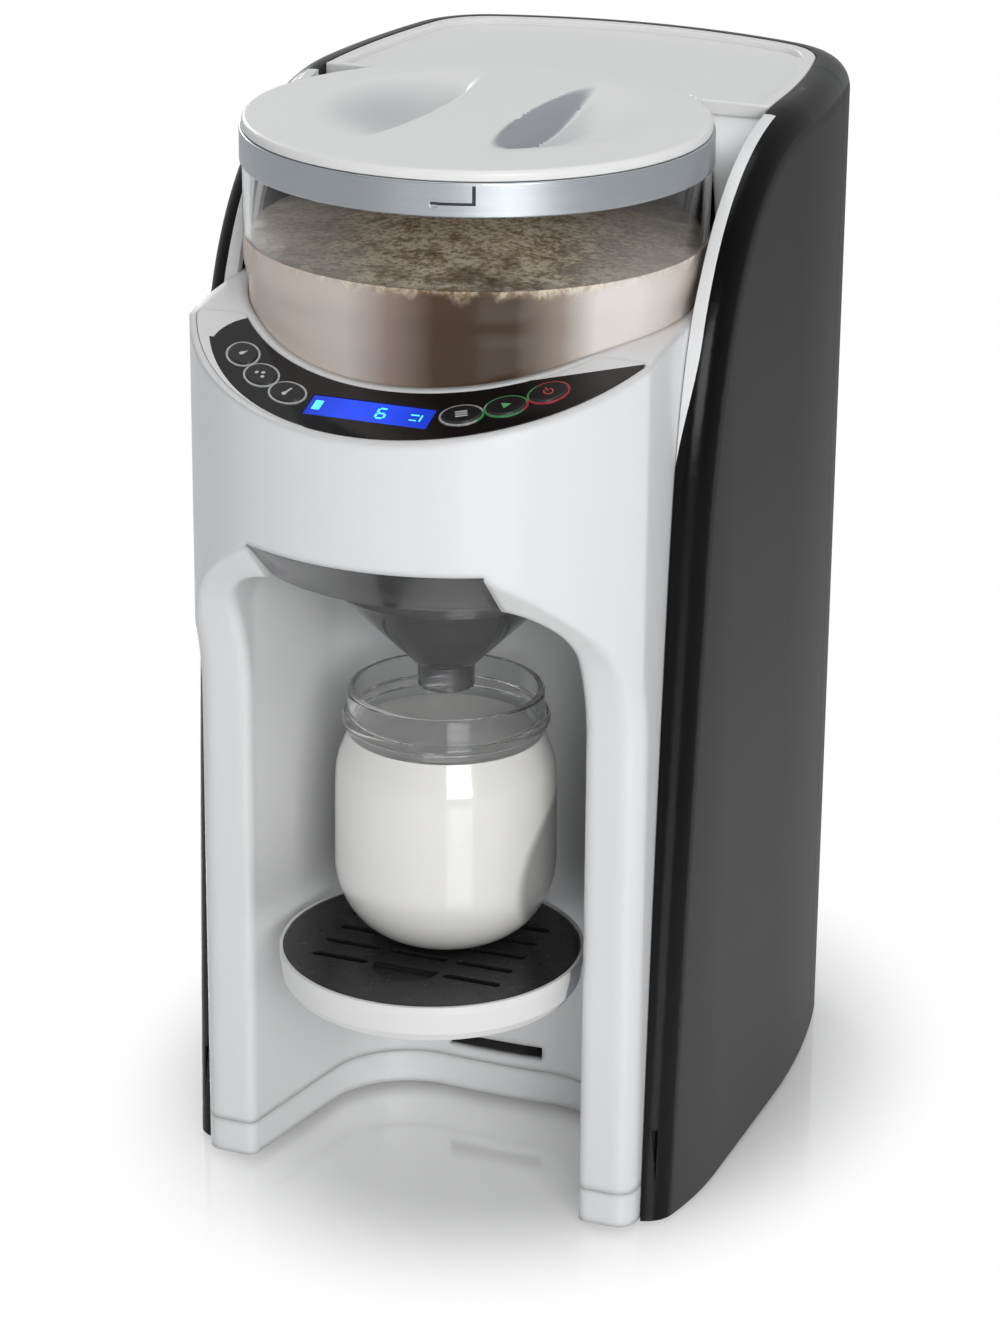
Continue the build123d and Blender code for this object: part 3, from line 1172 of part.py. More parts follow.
def nozzle_run(radius):
    """Straight run of the water nozzle from its hose to the funnel."""
    return Pos(0, NOZZLE_TAIL_Y, NOZZLE_Z) * Rot(90, 0, 0) * cyl(radius, 0, NOZZLE_TAIL_Y - NOZZLE_TIP_Y)


def water_nozzle():
    """Nozzle pipe over the funnel, closed at its tip, its barb inside the hose."""
    barb = 5.0
    along = Rot(90, 0, 0)
    tail = Pos(0, NOZZLE_TAIL_Y + barb, NOZZLE_Z)
    pipe = nozzle_run(NOZZLE_R) + tail * along * cyl(TUBE_BORE_R - 0.05, 0, barb)
    pipe -= tail * along * cyl(1.2, -1, NOZZLE_TAIL_Y + barb - NOZZLE_TIP_Y - 3)
    return pipe - cyl(0.9, NOZZLE_Z - 5, NOZZLE_Z, y=NOZZLE_TIP_Y + 6)


def outlet_hose():
    """Hose from the heater's upper port over the chassis plate to the nozzle."""
    return hose([(HEATER_X, HEATER_PORT_Y, 208.2), (HEATER_X, HEATER_PORT_Y, 236),
                 (-27, 3, 264), (0, 3, NOZZLE_Z), (0, NOZZLE_TAIL_Y, NOZZLE_Z)], bend=7)


def main_board():
    """Power and control board with transformer, capacitors and connectors."""
    y0 = CHASSIS_Y + 2
    board = box(6, 78, y0 + 6, y0 + 7.6, 112, 208)
    for x in (12, 72):
        for z in (118, 202):
            board += Pos(x, y0 + 6, z) * Rot(90, 0, 0) * cyl(2.5, 0, 6)
    board += box(14, 40, y0 + 7.6, y0 + 25, 120, 146)
    board += box(50, 70, y0 + 7.6, y0 + 20, 122, 138)
    for x in (20, 34, 48):
        board += Pos(x, y0 + 7.6, 165) * Rot(-90, 0, 0) * cyl(5, 0, 14)
    for x in (14, 34, 54):
        board += box(x, x + 14, y0 + 7.6, y0 + 14, 190, 198)
    return board


def cord_gland():
    """Inlet for the supply cord, low on the rear cover."""
    back = Rot(-90, 0, 0)
    base = Pos(GLAND_X, 0, GLAND_Z) * back
    outside = cover_depth(GLAND_X)
    nut = outside - GLAND_PAD - 2.3
    flange = outside - GLAND_RECESS + GAP
    gland = Pos(0, nut, 0) * base * cyl(5.9, 0, flange - nut + 1)
    gland += Pos(0, nut, 0) * base * cyl(GLAND_FLANGE_R, 0, 2)
    gland += Pos(0, flange, 0) * base * cyl(GLAND_FLANGE_R, 0, 3)
    return gland - Pos(0, nut - 2, 0) * base * cyl(3.2, 0, 30)


# ---- assembly ---------------------------------------------------------------
def export_all():
    blank = dark_shell()
    save("front_housing", front_housing())
    save("base_plinth", base_plinth())
    save("rubber_feet", group(rubber_feet()))
    save("base_screws", group(base_screws()))
    save("side_panel_right", side_panel(blank, 0, 130))
    save("side_panel_left", side_panel(blank, -130, 0))
    save("rear_cover", rear_cover(blank))
    save("cover_screws", group(cover_screws()))
    save("panel_lens", panel_lens())
    save("display_module", display_module())
    save("control_board", control_board())
    save("button_bezels", group(button_bezels()))
    for name, plane in zip(BUTTON_NAMES, button_planes()):
        save(name, button_cap(plane))
    for piece in (container_base, container_body, container_ring, metering_plate,
                  powder_scraper, dosing_wheel, stirrer, drive_pinion, motor_shaft, dosing_motor,
                  formula_powder, lid, lid_gasket, funnel_drawer, tray_dish, tray_grille,
                  bottle_glass, milk, tank_body, tank_lid, valve_plunger, valve_cage,
                  valve_spring, tank_shelf, tank_dock, dock_seal, chassis_plate,
                  heater_block, water_pump, pump_motor, supply_hose, feed_hose,
                  outlet_hose, water_nozzle, main_board, cord_gland):
        save(piece.__name__, piece())


os.makedirs("parts", exist_ok=True)
export_all()
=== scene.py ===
import json
import math

import bmesh
import bpy
from mathutils import Matrix, Vector


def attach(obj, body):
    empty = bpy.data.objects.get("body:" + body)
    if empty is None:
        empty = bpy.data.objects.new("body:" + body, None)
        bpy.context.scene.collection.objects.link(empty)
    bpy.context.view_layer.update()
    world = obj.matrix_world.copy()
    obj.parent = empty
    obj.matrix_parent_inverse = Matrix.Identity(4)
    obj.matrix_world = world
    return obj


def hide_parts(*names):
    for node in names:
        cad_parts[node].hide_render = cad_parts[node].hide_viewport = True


# Baby formula maker: finishes, turned pieces, printed marks, light and camera round the CAD frame.
# Metres unless a line says millimetres, +Z up, front towards -Y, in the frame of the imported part.

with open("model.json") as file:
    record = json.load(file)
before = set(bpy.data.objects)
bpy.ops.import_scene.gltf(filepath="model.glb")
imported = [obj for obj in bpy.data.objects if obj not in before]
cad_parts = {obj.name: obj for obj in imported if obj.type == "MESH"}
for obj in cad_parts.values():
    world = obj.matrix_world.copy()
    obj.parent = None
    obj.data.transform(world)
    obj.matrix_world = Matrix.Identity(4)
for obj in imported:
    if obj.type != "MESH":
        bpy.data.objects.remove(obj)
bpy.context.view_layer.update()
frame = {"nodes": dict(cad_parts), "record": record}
NODES = frame["nodes"]

MM = 0.001

# ---- sizes shared with the part ----------------------------------------------
CONTAINER_Y = -0.040                    # axis of the powder container and its lid
BOTTLE_Y = -0.068                       # axis of the bottle
BOTTLE_R = 42.5 * MM
BROW_Z0 = 0.324                         # sloping key panel: height at its front edge
BROW_SLOPE = 0.35
BROW_FRONT_Y = -0.157
KEY_ANGLES = (-46.0, -35.0, -24.0, 24.0, 35.0, 46.0)
KEY_NAMES = ("water_volume_button", "powder_setting_button", "temperature_button",
             "mode_button", "start_button", "power_button")
KEY_RING_R = 0.082
KEY_RING_Y = -0.061
KEY_CROWN = 0.9 * MM
DISPLAY_Y = -0.140
DISPLAY_FACE = -0.2 * MM
SHELL_INNER_X = 0.0895
LID_TOP = 0.415
LID_R = 86.2 * MM

# ---- sizes and tones of the scene alone --------------------------------------
WING_LIP_X = 0.0950                     # the wings' white lip reaches out to here at the top
TRIM_WHITE = (0.80, 0.805, 0.81)
SIDEWAYS = (0.9336, 0.3584)             # plan direction from left to right as seen in the photo
FILM = 0.05 * MM                        # powder and milk are drawn this far outside their clear walls


# ---- finishes ----------------------------------------------------------------
class Finish:
    """Principled material whose colour, gloss and grain come from object space."""

    def __init__(self, name):
        self.material = bpy.data.materials.new(name)
        self.material.use_nodes = True
        self.tree = self.material.node_tree
        self.shader = self.tree.nodes["Principled BSDF"]
        self.coords = self.add("ShaderNodeTexCoord").outputs["Object"]

    def add(self, kind, **settings):
        node = self.tree.nodes.new(kind)
        for key, value in settings.items():
            setattr(node, key, value)
        return node

    def feed(self, socket, value):
        """Links an output, or sets a plain value."""
        if isinstance(value, bpy.types.NodeSocket):
            self.tree.links.new(value, socket)
        elif isinstance(value, tuple) and len(value) == 3 and socket.type == "RGBA":
            socket.default_value = (*value, 1.0)
        else:
            socket.default_value = value

    def set(self, **values):
        for key, value in values.items():
            self.feed(self.shader.inputs[key.replace("_", " ")], value)
        return self

    def calc(self, operation, first, second=0.0, third=0.0):
        node = self.add("ShaderNodeMath", operation=operation)
        for socket, value in zip(node.inputs, (first, second, third)):
            self.feed(socket, value)
        return node.outputs[0]

    def times(self, first, second):
        """Product; for values of 0 and 1, where both hold."""
        return self.calc("MULTIPLY", first, second)

    def above(self, value, limit):
        return self.calc("GREATER_THAN", value, limit)

    def below(self, value, limit):
        return self.calc("LESS_THAN", value, limit)

    def inside(self, value, low, high):
        """1 where the value lies between the two limits."""
        return self.times(self.above(value, low), self.below(value, high))

    def axis(self, letter, source=None):
        node = self.add("ShaderNodeSeparateXYZ")
        self.feed(node.inputs[0], source or self.coords)
        return node.outputs[letter]

    def normal(self):
        """The surface's own direction, in object space."""
        return self.add("ShaderNodeTexCoord").outputs["Normal"]

    def away(self, x, y):
        """Distance in plan from the upright line through x, y."""
        squares = [self.calc("POWER", self.calc("SUBTRACT", self.axis(letter), place), 2.0)
                   for letter, place in (("X", x), ("Y", y))]
        return self.calc("SQRT", self.calc("ADD", *squares))

    def sideways(self, centre_y):
        """Distance to the right of a turned piece's axis, along SIDEWAYS."""
        right, back = SIDEWAYS
        return self.calc("ADD", self.times(self.axis("X"), right),
                         self.times(self.calc("SUBTRACT", self.axis("Y"), centre_y), back))

    def range(self, value, low, high, new_low=0.0, new_high=1.0, ease="SMOOTHSTEP"):
        node = self.add("ShaderNodeMapRange", interpolation_type=ease)
        for socket, item in zip(node.inputs, (value, low, high, new_low, new_high)):
            self.feed(socket, item)
        return node.outputs[0]

    def noise(self, scale, detail=3.0, stretch=(1.0, 1.0, 1.0), rough=0.5):
        place = self.add("ShaderNodeMapping")
        self.feed(place.inputs["Vector"], self.coords)
        place.inputs["Scale"].default_value = stretch
        node = self.add("ShaderNodeTexNoise")
        self.feed(node.inputs["Vector"], place.outputs[0])
        node.inputs["Scale"].default_value = scale
        node.inputs["Detail"].default_value = detail
        node.inputs["Roughness"].default_value = rough
        return node.outputs["Fac"]

    def mix(self, factor, first, second):
        node = self.add("ShaderNodeMix", data_type="RGBA")
        for place, value in ((0, factor), (6, first), (7, second)):
            self.feed(node.inputs[place], value)
        return node.outputs[2]

    def ramp(self, factor, stops, steps="LINEAR"):
        node = self.add("ShaderNodeValToRGB")
        node.color_ramp.interpolation = steps
        self.feed(node.inputs[0], factor)
        band = node.color_ramp.elements
        while len(band) < len(stops):
            band.new(1.0)
        for element, (place, colour) in zip(band, stops):
            element.position = place
            element.color = (*colour, 1.0)
        return node.outputs[0]

    def grain(self, height, depth, strength=1.0, soften=0.0):
        """Surface relief of that depth, over edges rounded by soften."""
        bump = self.add("ShaderNodeBump")
        self.feed(bump.inputs["Height"], height)
        bump.inputs["Distance"].default_value = depth
        bump.inputs["Strength"].default_value = strength
        if soften:
            bevel = self.add("ShaderNodeBevel", samples=6)
            bevel.inputs["Radius"].default_value = soften
            self.feed(bump.inputs["Normal"], bevel.outputs[0])
        self.feed(self.shader.inputs["Normal"], bump.outputs[0])
        return self


def plain(name, dark, light, gloss, metal=0.0, scale=40.0, relief=0.04 * MM, grain=900.0, soften=0.3 * MM):
    """Moulded or cast finish: cloudy colour, uneven gloss and a fine grain."""
    made = Finish(name)
    cloud = made.noise(scale, 4.0)
    made.set(Base_Color=made.mix(cloud, dark, light), Metallic=metal,
             Roughness=made.range(made.noise(scale * 3.0), 0.25, 0.75, gloss * 0.86, gloss * 1.14))
    return made.grain(made.noise(grain, 2.0), relief, 0.5, soften)


def clouded(made, tone):
    """The tone with faint broad clouds."""
    return made.mix(made.noise(6.0, 2.0), tuple(0.985 * t for t in tone), tone)


def white_plastic(name, tone, gloss, soften):
    """Glossy white moulding with a faint orange peel."""
    made = Finish(name)
    made.set(Base_Color=clouded(made, tone),
             Roughness=made.range(made.noise(14.0, 2.0), 0.2, 0.8, gloss * 0.95, gloss * 1.05))
    made.grain(made.noise(420.0, 2.0), 0.012 * MM, 0.4, soften)
    return made.set(Coat_Weight=0.25, Coat_Roughness=0.12)


def lid_white():
    """White of the lid, deck and tray, with painted shade: greyer on the scoops' walls that turn from the
    light.
    """
    tone, shade, scoops_reach = (0.85, 0.85, 0.84), (0.33, 0.34, 0.37), 0.074
    made = white_plastic("lid_white_gloss", tone, 0.42, 0.7 * MM)
    # painted shade: within the scoops' reach, surfaces facing +X are drawn greyer
    turned = made.range(made.axis("X", made.normal()), 0.06, 0.60)
    walls = made.times(turned, made.below(made.away(0.0, CONTAINER_Y), scoops_reach))
    return made.set(Base_Color=made.mix(walls, clouded(made, tone), shade))


def dark_panel():
    """Side shell: flat satin sides, a blacker and glossier rolled edge, and the wings' white lip. The sides'
    grey, and the lighter grey of sides and rolled edge towards the bottom, are painted reflection.
    """
    made = Finish("shell_black")
    normal, height = made.normal(), made.axis("Z")
    squarely = made.calc("MAXIMUM", made.calc("ABSOLUTE", made.axis("X", normal)), made.axis("Y", normal))
    flat = made.range(squarely, 0.90, 0.995)
    # painted reflection: the flat sides drawn grey, lighter towards the bottom and darker towards the top;
    # the rolled edge is drawn lighter towards the bottom too
    low_side_painted_reflection = made.mix(made.noise(7.0, 3.0), (0.066, 0.066, 0.067), (0.074, 0.074, 0.075))
    side = made.mix(made.range(height, 0.02, 0.40), low_side_painted_reflection, (0.030, 0.030, 0.031))
    roll = made.mix(made.range(height, 0.04, 0.20), (0.012, 0.012, 0.0125), (0.003, 0.003, 0.0035))
    lip_x = made.range(height, 0.290, 0.345, SHELL_INNER_X, WING_LIP_X)
    lip = made.times(made.below(made.calc("ABSOLUTE", made.axis("X")), lip_x),
                     made.below(made.axis("Y"), 0.02))
    made.set(Base_Color=made.mix(lip, made.mix(flat, roll, side), TRIM_WHITE),
             Roughness=made.range(flat, 0.0, 1.0, 0.22, 0.46), Specular_IOR_Level=0.14)
    return made.grain(made.noise(650.0, 3.0), 0.03 * MM, 0.5, 0.5 * MM)


def brushed_ring():
    """Steel band brushed round its axis, with an engraved closing mark: a line that turns up at its end."""
    made = Finish("ring_brushed_steel")
    lines = made.noise(60.0, 6.0, (0.35, 0.35, 42.0), 0.7)
    brushed = made.mix(lines, (0.43, 0.46, 0.485), (0.64, 0.665, 0.685))
    steel = made.mix(made.times(made.noise(16.0, 2.0), 0.35), brushed, (0.50, 0.53, 0.56))
    across, height = made.axis("X"), made.axis("Z")
    left, right, foot, head = 0.0168, 0.0322, 0.4029, 0.4099
    line = made.times(made.inside(across, left, right), made.inside(height, foot, foot + 1.0 * MM))
    riser = made.times(made.inside(across, right - 1.2 * MM, right), made.inside(height, foot, head))
    mark = made.times(made.calc("MAXIMUM", line, riser), made.below(made.axis("Y"), -0.1))
    made.set(Base_Color=made.mix(mark, steel, (0.03, 0.03, 0.032)), Metallic=made.calc("SUBTRACT", 1.0, mark),
             Roughness=made.range(lines, 0.2, 0.8, 0.27, 0.43))
    return made.grain(lines, 0.04 * MM, 0.6, 0.4 * MM)


def powder():
    """Formula powder: smooth beige against the wall with painted reflection bands, a dark one in the middle
    and lighter ones at the sides; crumbs on top, drawn browner as painted shade under the lid.
    """
    made = Finish("formula_powder_grains")
    crumbs = made.noise(420.0, 5.0, rough=0.7)
    clumps = made.noise(95.0, 4.0)
    cloud = made.noise(26.0, 3.0)
    heap_r, top_low, top_high = 0.0836, 0.3745, 0.3835
    across = made.calc("MULTIPLY_ADD", made.sideways(CONTAINER_Y), 0.5 / heap_r, 0.5)
    # painted reflection: across the heap, lighter bands at both sides and a dark brown band in the middle
    around = made.ramp(made.calc("ADD", across, made.times(cloud, 0.02)),
                       [(0.01, (0.60, 0.51, 0.45)), (0.06, (0.74, 0.65, 0.58)), (0.24, (0.64, 0.57, 0.51)),
                        (0.33, (0.30, 0.23, 0.185)), (0.43, (0.070, 0.040, 0.022)),
                        (0.60, (0.060, 0.034, 0.018)), (0.70, (0.34, 0.28, 0.235)),
                        (0.77, (0.80, 0.75, 0.72)), (0.86, (0.84, 0.78, 0.74)), (0.98, (0.64, 0.56, 0.50))])
    # crumb tones: the powder's grain, drawn browner than at the wall as painted shade under the lid
    crumb_tones_painted_shade = made.ramp(made.calc("ADD", made.times(crumbs, 0.7), made.times(clumps, 0.3)),
                      [(0.38, (0.20, 0.105, 0.040)), (0.47, (0.56, 0.38, 0.20)), (0.56, (0.98, 0.88, 0.70))])
    top = made.range(made.calc("ADD", made.axis("Z"), made.times(clumps, 0.014)), top_low, top_high)
    # painted reflection on the top too: crumbs paler at both sides, darkest in the middle
    painted_reflection_core = made.range(made.calc("ABSOLUTE", made.calc("SUBTRACT", across, 0.50)), 0.42, 0.12)
    top_with_painted_light = made.mix(made.calc("MULTIPLY_ADD", painted_reflection_core, -0.55, 0.60), crumb_tones_painted_shade, (0.90, 0.84, 0.78))
    made.set(Base_Color=made.mix(top, around, top_with_painted_light), Roughness=made.range(crumbs, 0.3, 0.7, 0.8, 0.95))
    made.set(Specular_IOR_Level=0.15, Coat_Weight=made.calc("MULTIPLY_ADD", top, -0.5, 0.5),
             Coat_Roughness=0.16)
    return made.grain(made.times(made.calc("ADD", crumbs, clumps), top), 1.2 * MM, 0.8)


def clear_plastic(name, tint, rough, index):
    """Clear moulding or glass with faint waviness."""
    made = Finish(name)
    made.set(Base_Color=made.mix(made.noise(12.0, 2.0), tuple(0.985 * t for t in tint), tint),
             Roughness=made.range(made.noise(30.0), 0.3, 0.7, rough * 0.6, rough * 1.4),
             Transmission_Weight=1.0, IOR=index)
    return made.grain(made.noise(35.0, 1.0), 0.04 * MM, 0.25)


def smoke_plastic():
    """Dark translucent funnel."""
    made = Finish("smoke_plastic")
    made.set(Base_Color=made.mix(made.noise(30.0, 3.0), (0.30, 0.30, 0.305), (0.36, 0.36, 0.37)),
             Roughness=made.range(made.noise(90.0), 0.3, 0.7, 0.10, 0.18),
             Transmission_Weight=0.85, IOR=1.46)
    return made.grain(made.noise(380.0, 2.0), 0.03 * MM, 0.4)


def milk():
    """Ready formula, slightly translucent, with a painted reflection of the dark bay: a soft dark patch on
    its right flank.
    """
    made = Finish("formula_milk")
    patch_z, patch_half = 0.127, 0.036
    across = made.times(made.sideways(BOTTLE_Y), 1 / BOTTLE_R)
    height = made.calc("MULTIPLY_ADD", made.axis("Z"), 1 / patch_half, -patch_z / patch_half)
    edge = made.calc("MULTIPLY_ADD", made.times(height, height), 0.36, 0.64)
    # painted reflection: a soft dark patch on the right flank, widest at mid height
    painted_reflection_patch = made.times(made.range(made.calc("SUBTRACT", across, edge), -0.02, 0.10), 0.72)
    warm = made.mix(made.noise(22.0, 3.0), (0.86, 0.85, 0.815), (0.89, 0.88, 0.85))
    made.set(Base_Color=made.mix(painted_reflection_patch, warm, (0.16, 0.16, 0.155)),
             Roughness=made.range(made.noise(50.0), 0.3, 0.7, 0.30, 0.40))
    made.set(Subsurface_Weight=0.2, Subsurface_Radius=(0.004, 0.0035, 0.003), Subsurface_Scale=1.0)
    made.set(Coat_Weight=1.0, Coat_Roughness=0.03)
    return made.grain(made.noise(60.0, 2.0), 0.05 * MM, 0.3)


def lit_display():
    """Blue back-lit display, brighter in the middle, with a fine pixel grid."""
    made = Finish("display_blue")
    across = made.axis("X")
    glow = made.range(made.calc("ABSOLUTE", across), 0.024, 0.004, 0.55, 1.0)
    cells = made.times(made.calc("SINE", made.times(across, 9000.0)), 0.04)
    shade = made.calc("ADD", made.times(glow, made.range(made.noise(40.0), 0.2, 0.8, 0.9, 1.05)), cells)
    made.set(Base_Color=(0.004, 0.008, 0.05), Roughness=made.range(made.noise(60.0), 0.3, 0.7, 0.10, 0.16),
             Emission_Color=made.mix(shade, (0.001, 0.010, 0.25), (0.010, 0.075, 1.0)),
             Emission_Strength=0.95)
    return made.grain(made.noise(500.0), 0.01 * MM, 0.3)


def ring_marks():
    """Rings round the keys: pale, but green for start and red for power."""
    made = Finish("key_rings")
    place = made.range(made.axis("X"), -0.07, 0.07, ease="LINEAR")
    tint = made.ramp(place, [(0.0, (0.62, 0.63, 0.64)), (0.785, (0.10, 0.42, 0.16)),
                             (0.88, (0.60, 0.06, 0.08))], "CONSTANT")
    made.set(Base_Color=made.mix(made.times(made.noise(300.0), 0.25), tint, (0.2, 0.2, 0.2)),
             Metallic=0.35, Roughness=made.range(made.noise(200.0), 0.3, 0.7, 0.22, 0.32))
    return made.grain(made.noise(700.0), 0.01 * MM, 0.3)


def lens_panel():
    """Glossy black crescent; white beyond the lines where its print narrows at both ends."""
    made = Finish("lens_panel")
    across, depth = made.axis("X"), made.axis("Y")
    run_out = made.calc("SUBTRACT", depth, made.calc("MULTIPLY_ADD", across, 0.45, -0.1349))
    right = made.times(made.above(run_out, 0.0), made.above(across, 0.05))
    left = made.times(made.above(made.away(-0.0023, -0.0702), 0.084), made.below(across, -0.02))
    end_x, end_y, end_r = -0.060, -0.110, 0.0145
    round_end = made.times(made.above(made.away(end_x, end_y), end_r),
                           made.times(made.below(across, end_x), made.above(depth, end_y)))
    white = made.calc("MAXIMUM", right, made.calc("MAXIMUM", left, round_end))
    cloud = made.noise(25.0, 4.0)
    black = made.mix(cloud, (0.0035, 0.0035, 0.004), (0.006, 0.006, 0.007))
    made.set(Base_Color=made.mix(white, black, TRIM_WHITE),
             Roughness=made.calc("MULTIPLY_ADD", white, 0.20, made.range(cloud, 0.3, 0.7, 0.08, 0.10)))
    return made.grain(made.noise(300.0, 2.0), 0.01 * MM, 0.5, 0.3 * MM)


def glow_mark(name, tint, strength):
    """Lit segment on the display."""
    made = Finish(name)
    shade = made.mix(made.noise(400.0), tuple(0.85 * t for t in tint), tint)
    return made.set(Base_Color=shade, Roughness=0.3, Emission_Color=shade, Emission_Strength=strength)


BODY_WHITE = white_plastic("body_white_gloss", (0.81, 0.815, 0.82), 0.30, 5.0 * MM)
OWN_FINISH = {"front_housing": BODY_WHITE, "base_plinth": BODY_WHITE}

# finish of each material slot in the record
FINISH = {
    "white_gloss": lid_white(),
    "dark_gloss": dark_panel(),
    "ring_steel": brushed_ring(),
    "powder_beige": powder(),
    "clear_window": clear_plastic("window_clear", (0.965, 0.97, 0.97), 0.02, 1.22),
    "bottle_clear": clear_plastic("bottle_glass_clear", (0.97, 0.98, 0.975), 0.008, 1.45),
    "tank_clear": clear_plastic("tank_clear", (0.86, 0.92, 0.95), 0.06, 1.49),
    "smoke_plastic": smoke_plastic(),
    "milk_white": milk(),
    "display_glass": lit_display(),
    "bezel_chrome": ring_marks(),
    "lens_black": lens_panel(),
    "gasket_clear": plain("gasket_silicone", (0.62, 0.62, 0.60), (0.72, 0.72, 0.70), 0.55),
}

# plain slots: darker tone, lighter tone, gloss, and what differs from plain()'s own values
PLAIN = {
    "rubber_black": ((0.012, 0.012, 0.012), (0.022, 0.022, 0.022), 0.75,
                     dict(grain=1400.0, relief=0.1 * MM)),
    "zinc_screw": ((0.42, 0.43, 0.44), (0.58, 0.59, 0.60), 0.34, dict(metal=1.0, scale=160.0)),
    "circuit_green": ((0.010, 0.085, 0.035), (0.020, 0.14, 0.06), 0.45, dict(scale=220.0)),
    "key_dark": ((0.010, 0.010, 0.011), (0.016, 0.016, 0.017), 0.24, dict(scale=120.0)),
    "base_grey": ((0.30, 0.31, 0.32), (0.36, 0.37, 0.38), 0.42, {}),
    "acetal_white": ((0.66, 0.66, 0.64), (0.74, 0.74, 0.72), 0.40, {}),
    "stirrer_grey": ((0.32, 0.32, 0.33), (0.38, 0.38, 0.39), 0.45, {}),
    "motor_steel": ((0.40, 0.40, 0.41), (0.55, 0.55, 0.56), 0.36, dict(metal=1.0, scale=90.0)),
    "shaft_steel": ((0.50, 0.50, 0.51), (0.66, 0.66, 0.67), 0.22, dict(metal=1.0, scale=150.0)),
    "mat_black": ((0.009, 0.0095, 0.0105), (0.015, 0.0155, 0.017), 0.30,
                  dict(scale=70.0, grain=1300.0, relief=0.07 * MM, soften=0.5 * MM)),
    "spring_steel": ((0.45, 0.45, 0.46), (0.60, 0.60, 0.61), 0.28, dict(metal=1.0, scale=200.0)),
    "chassis_zinc": ((0.42, 0.43, 0.44), (0.56, 0.57, 0.58), 0.42, dict(metal=0.9, scale=30.0)),
    "heater_cast": ((0.36, 0.36, 0.37), (0.48, 0.48, 0.49), 0.60,
                    dict(metal=0.8, scale=80.0, grain=500.0, relief=0.2 * MM)),
    "pump_black": ((0.014, 0.014, 0.015), (0.028, 0.028, 0.029), 0.50, {}),
    "hose_silicone": ((0.58, 0.60, 0.61), (0.68, 0.70, 0.71), 0.40, {}),
}
for slot, (dark, light, gloss, special) in PLAIN.items():
    FINISH[slot] = plain(slot, dark, light, gloss, **special)

slot_of = {part["node"]: part.get("material_slot") for part in frame["record"]["subparts"]}
for name, node in NODES.items():
    finish = OWN_FINISH.get(name) or FINISH[slot_of[name]]
    if not node.material_slots:
        node.data.materials.append(finish.material)
    for place in node.material_slots:
        place.material = finish.material


# ---- turned pieces -----------------------------------------------------------
def metres(*points):
    """Outline points given in millimetres."""
    return [(a * MM, b * MM) for a, b in points]


def smooth_path(points, steps):
    """Finer outline through the same points."""
    path = []
    ends = [points[0]] + list(points) + [points[-1]]
    for a, b, c, d in zip(ends, ends[1:], ends[2:], ends[3:]):
        for i in range(steps):
            t = i / steps
            path.append(tuple(0.5 * (2 * q + (r - p) * t + (2 * p - 5 * q + 4 * r - w) * t * t
                                     + (3 * q - p - 3 * r + w) * t ** 3) for p, q, r, w in zip(a, b, c, d)))
    return path + [points[-1]]


def ease(t):
    """0 to 1 with soft ends."""
    t = min(max(t, 0.0), 1.0)
    return t * t * (3 - 2 * t)


def place_mesh(name, made, finish, body):
    """Object from the bmesh, in that finish, riding on that body."""
    mesh = bpy.data.meshes.new(name)
    made.to_mesh(mesh)
    made.free()
    thing = bpy.data.objects.new(name, mesh)
    bpy.context.scene.collection.objects.link(thing)
    mesh.materials.append(finish.material)
    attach(thing, body)
    return thing


def lathe(name, outline, centre_y, slot, body, replaced, steps=128, sink=None):
    """Turned piece from an outline of (radius, height), standing for a CAD node.

    sink, where given, lowers each point by its own depth."""
    made = bmesh.new()
    rings = []
    for radius, height in outline:
        if radius < 0.001 * MM:
            rings.append([made.verts.new((0.0, centre_y, height))])
            continue
        turns = [2 * math.pi * i / steps for i in range(steps)]
        rings.append([made.verts.new((radius * math.cos(t), centre_y + radius * math.sin(t), height))
                      for t in turns])
    for low, high in zip(rings, rings[1:] + rings[:1]):
        if len(low) == 1 and len(high) == 1:
            continue
        for i in range(steps):
            j = (i + 1) % steps
            if len(low) == 1:
                made.faces.new((low[0], high[j], high[i]))
            elif len(high) == 1:
                made.faces.new((low[i], low[j], high[0]))
            else:
                made.faces.new((low[i], low[j], high[j], high[i]))
    bmesh.ops.recalc_face_normals(made, faces=list(made.faces))
    if sink:
        for vertex in made.verts:
            vertex.co.z -= sink(vertex.co.x, vertex.co.y - centre_y)
    for face in made.faces:
        face.smooth = True
    thing = place_mesh(name, made, FINISH[slot], body)
    thing.data.set_sharp_from_angle(angle=math.radians(40.0))
    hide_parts(replaced)


# bottle and milk
BOTTLE_FOOT_Z, BOTTLE_FLAT_R, BOTTLE_TURN_H, BOTTLE_WALL = 100.3 * MM, 15.0 * MM, 31.0 * MM, 2.4 * MM
BOTTLE_SHOULDER = ((42.4, 150.0), (42.2, 163.0), (41.5, 171.0), (39.0, 178.5), (37.2, 183.0))
BOTTLE_BEAD = ((37.2, 185.0), (37.3, 186.6), (38.9, 187.3), (39.6, 189.0), (38.9, 190.7), (37.3, 191.4),
               (37.3, 194.0), (37.3, 199.4), (36.9, 200.5), (36.0, 200.8), (35.1, 200.5), (34.8, 199.6),
               (34.8, 188.0))
MILK_LEVEL = 183.5 * MM


def bottle_side(inset):
    """Side of the bottle from its foot to the neck, drawn in by inset."""
    steps = 16
    side = []
    for step in range(steps + 1):
        turn = math.radians(90 * step / steps)
        side.append((BOTTLE_FLAT_R - inset + (BOTTLE_R - BOTTLE_FLAT_R) * math.sin(turn),
                     BOTTLE_FOOT_Z + inset + (BOTTLE_TURN_H - inset) * (1 - math.cos(turn))))
    return side + smooth_path([(r * MM - inset, z * MM) for r, z in BOTTLE_SHOULDER], 5)


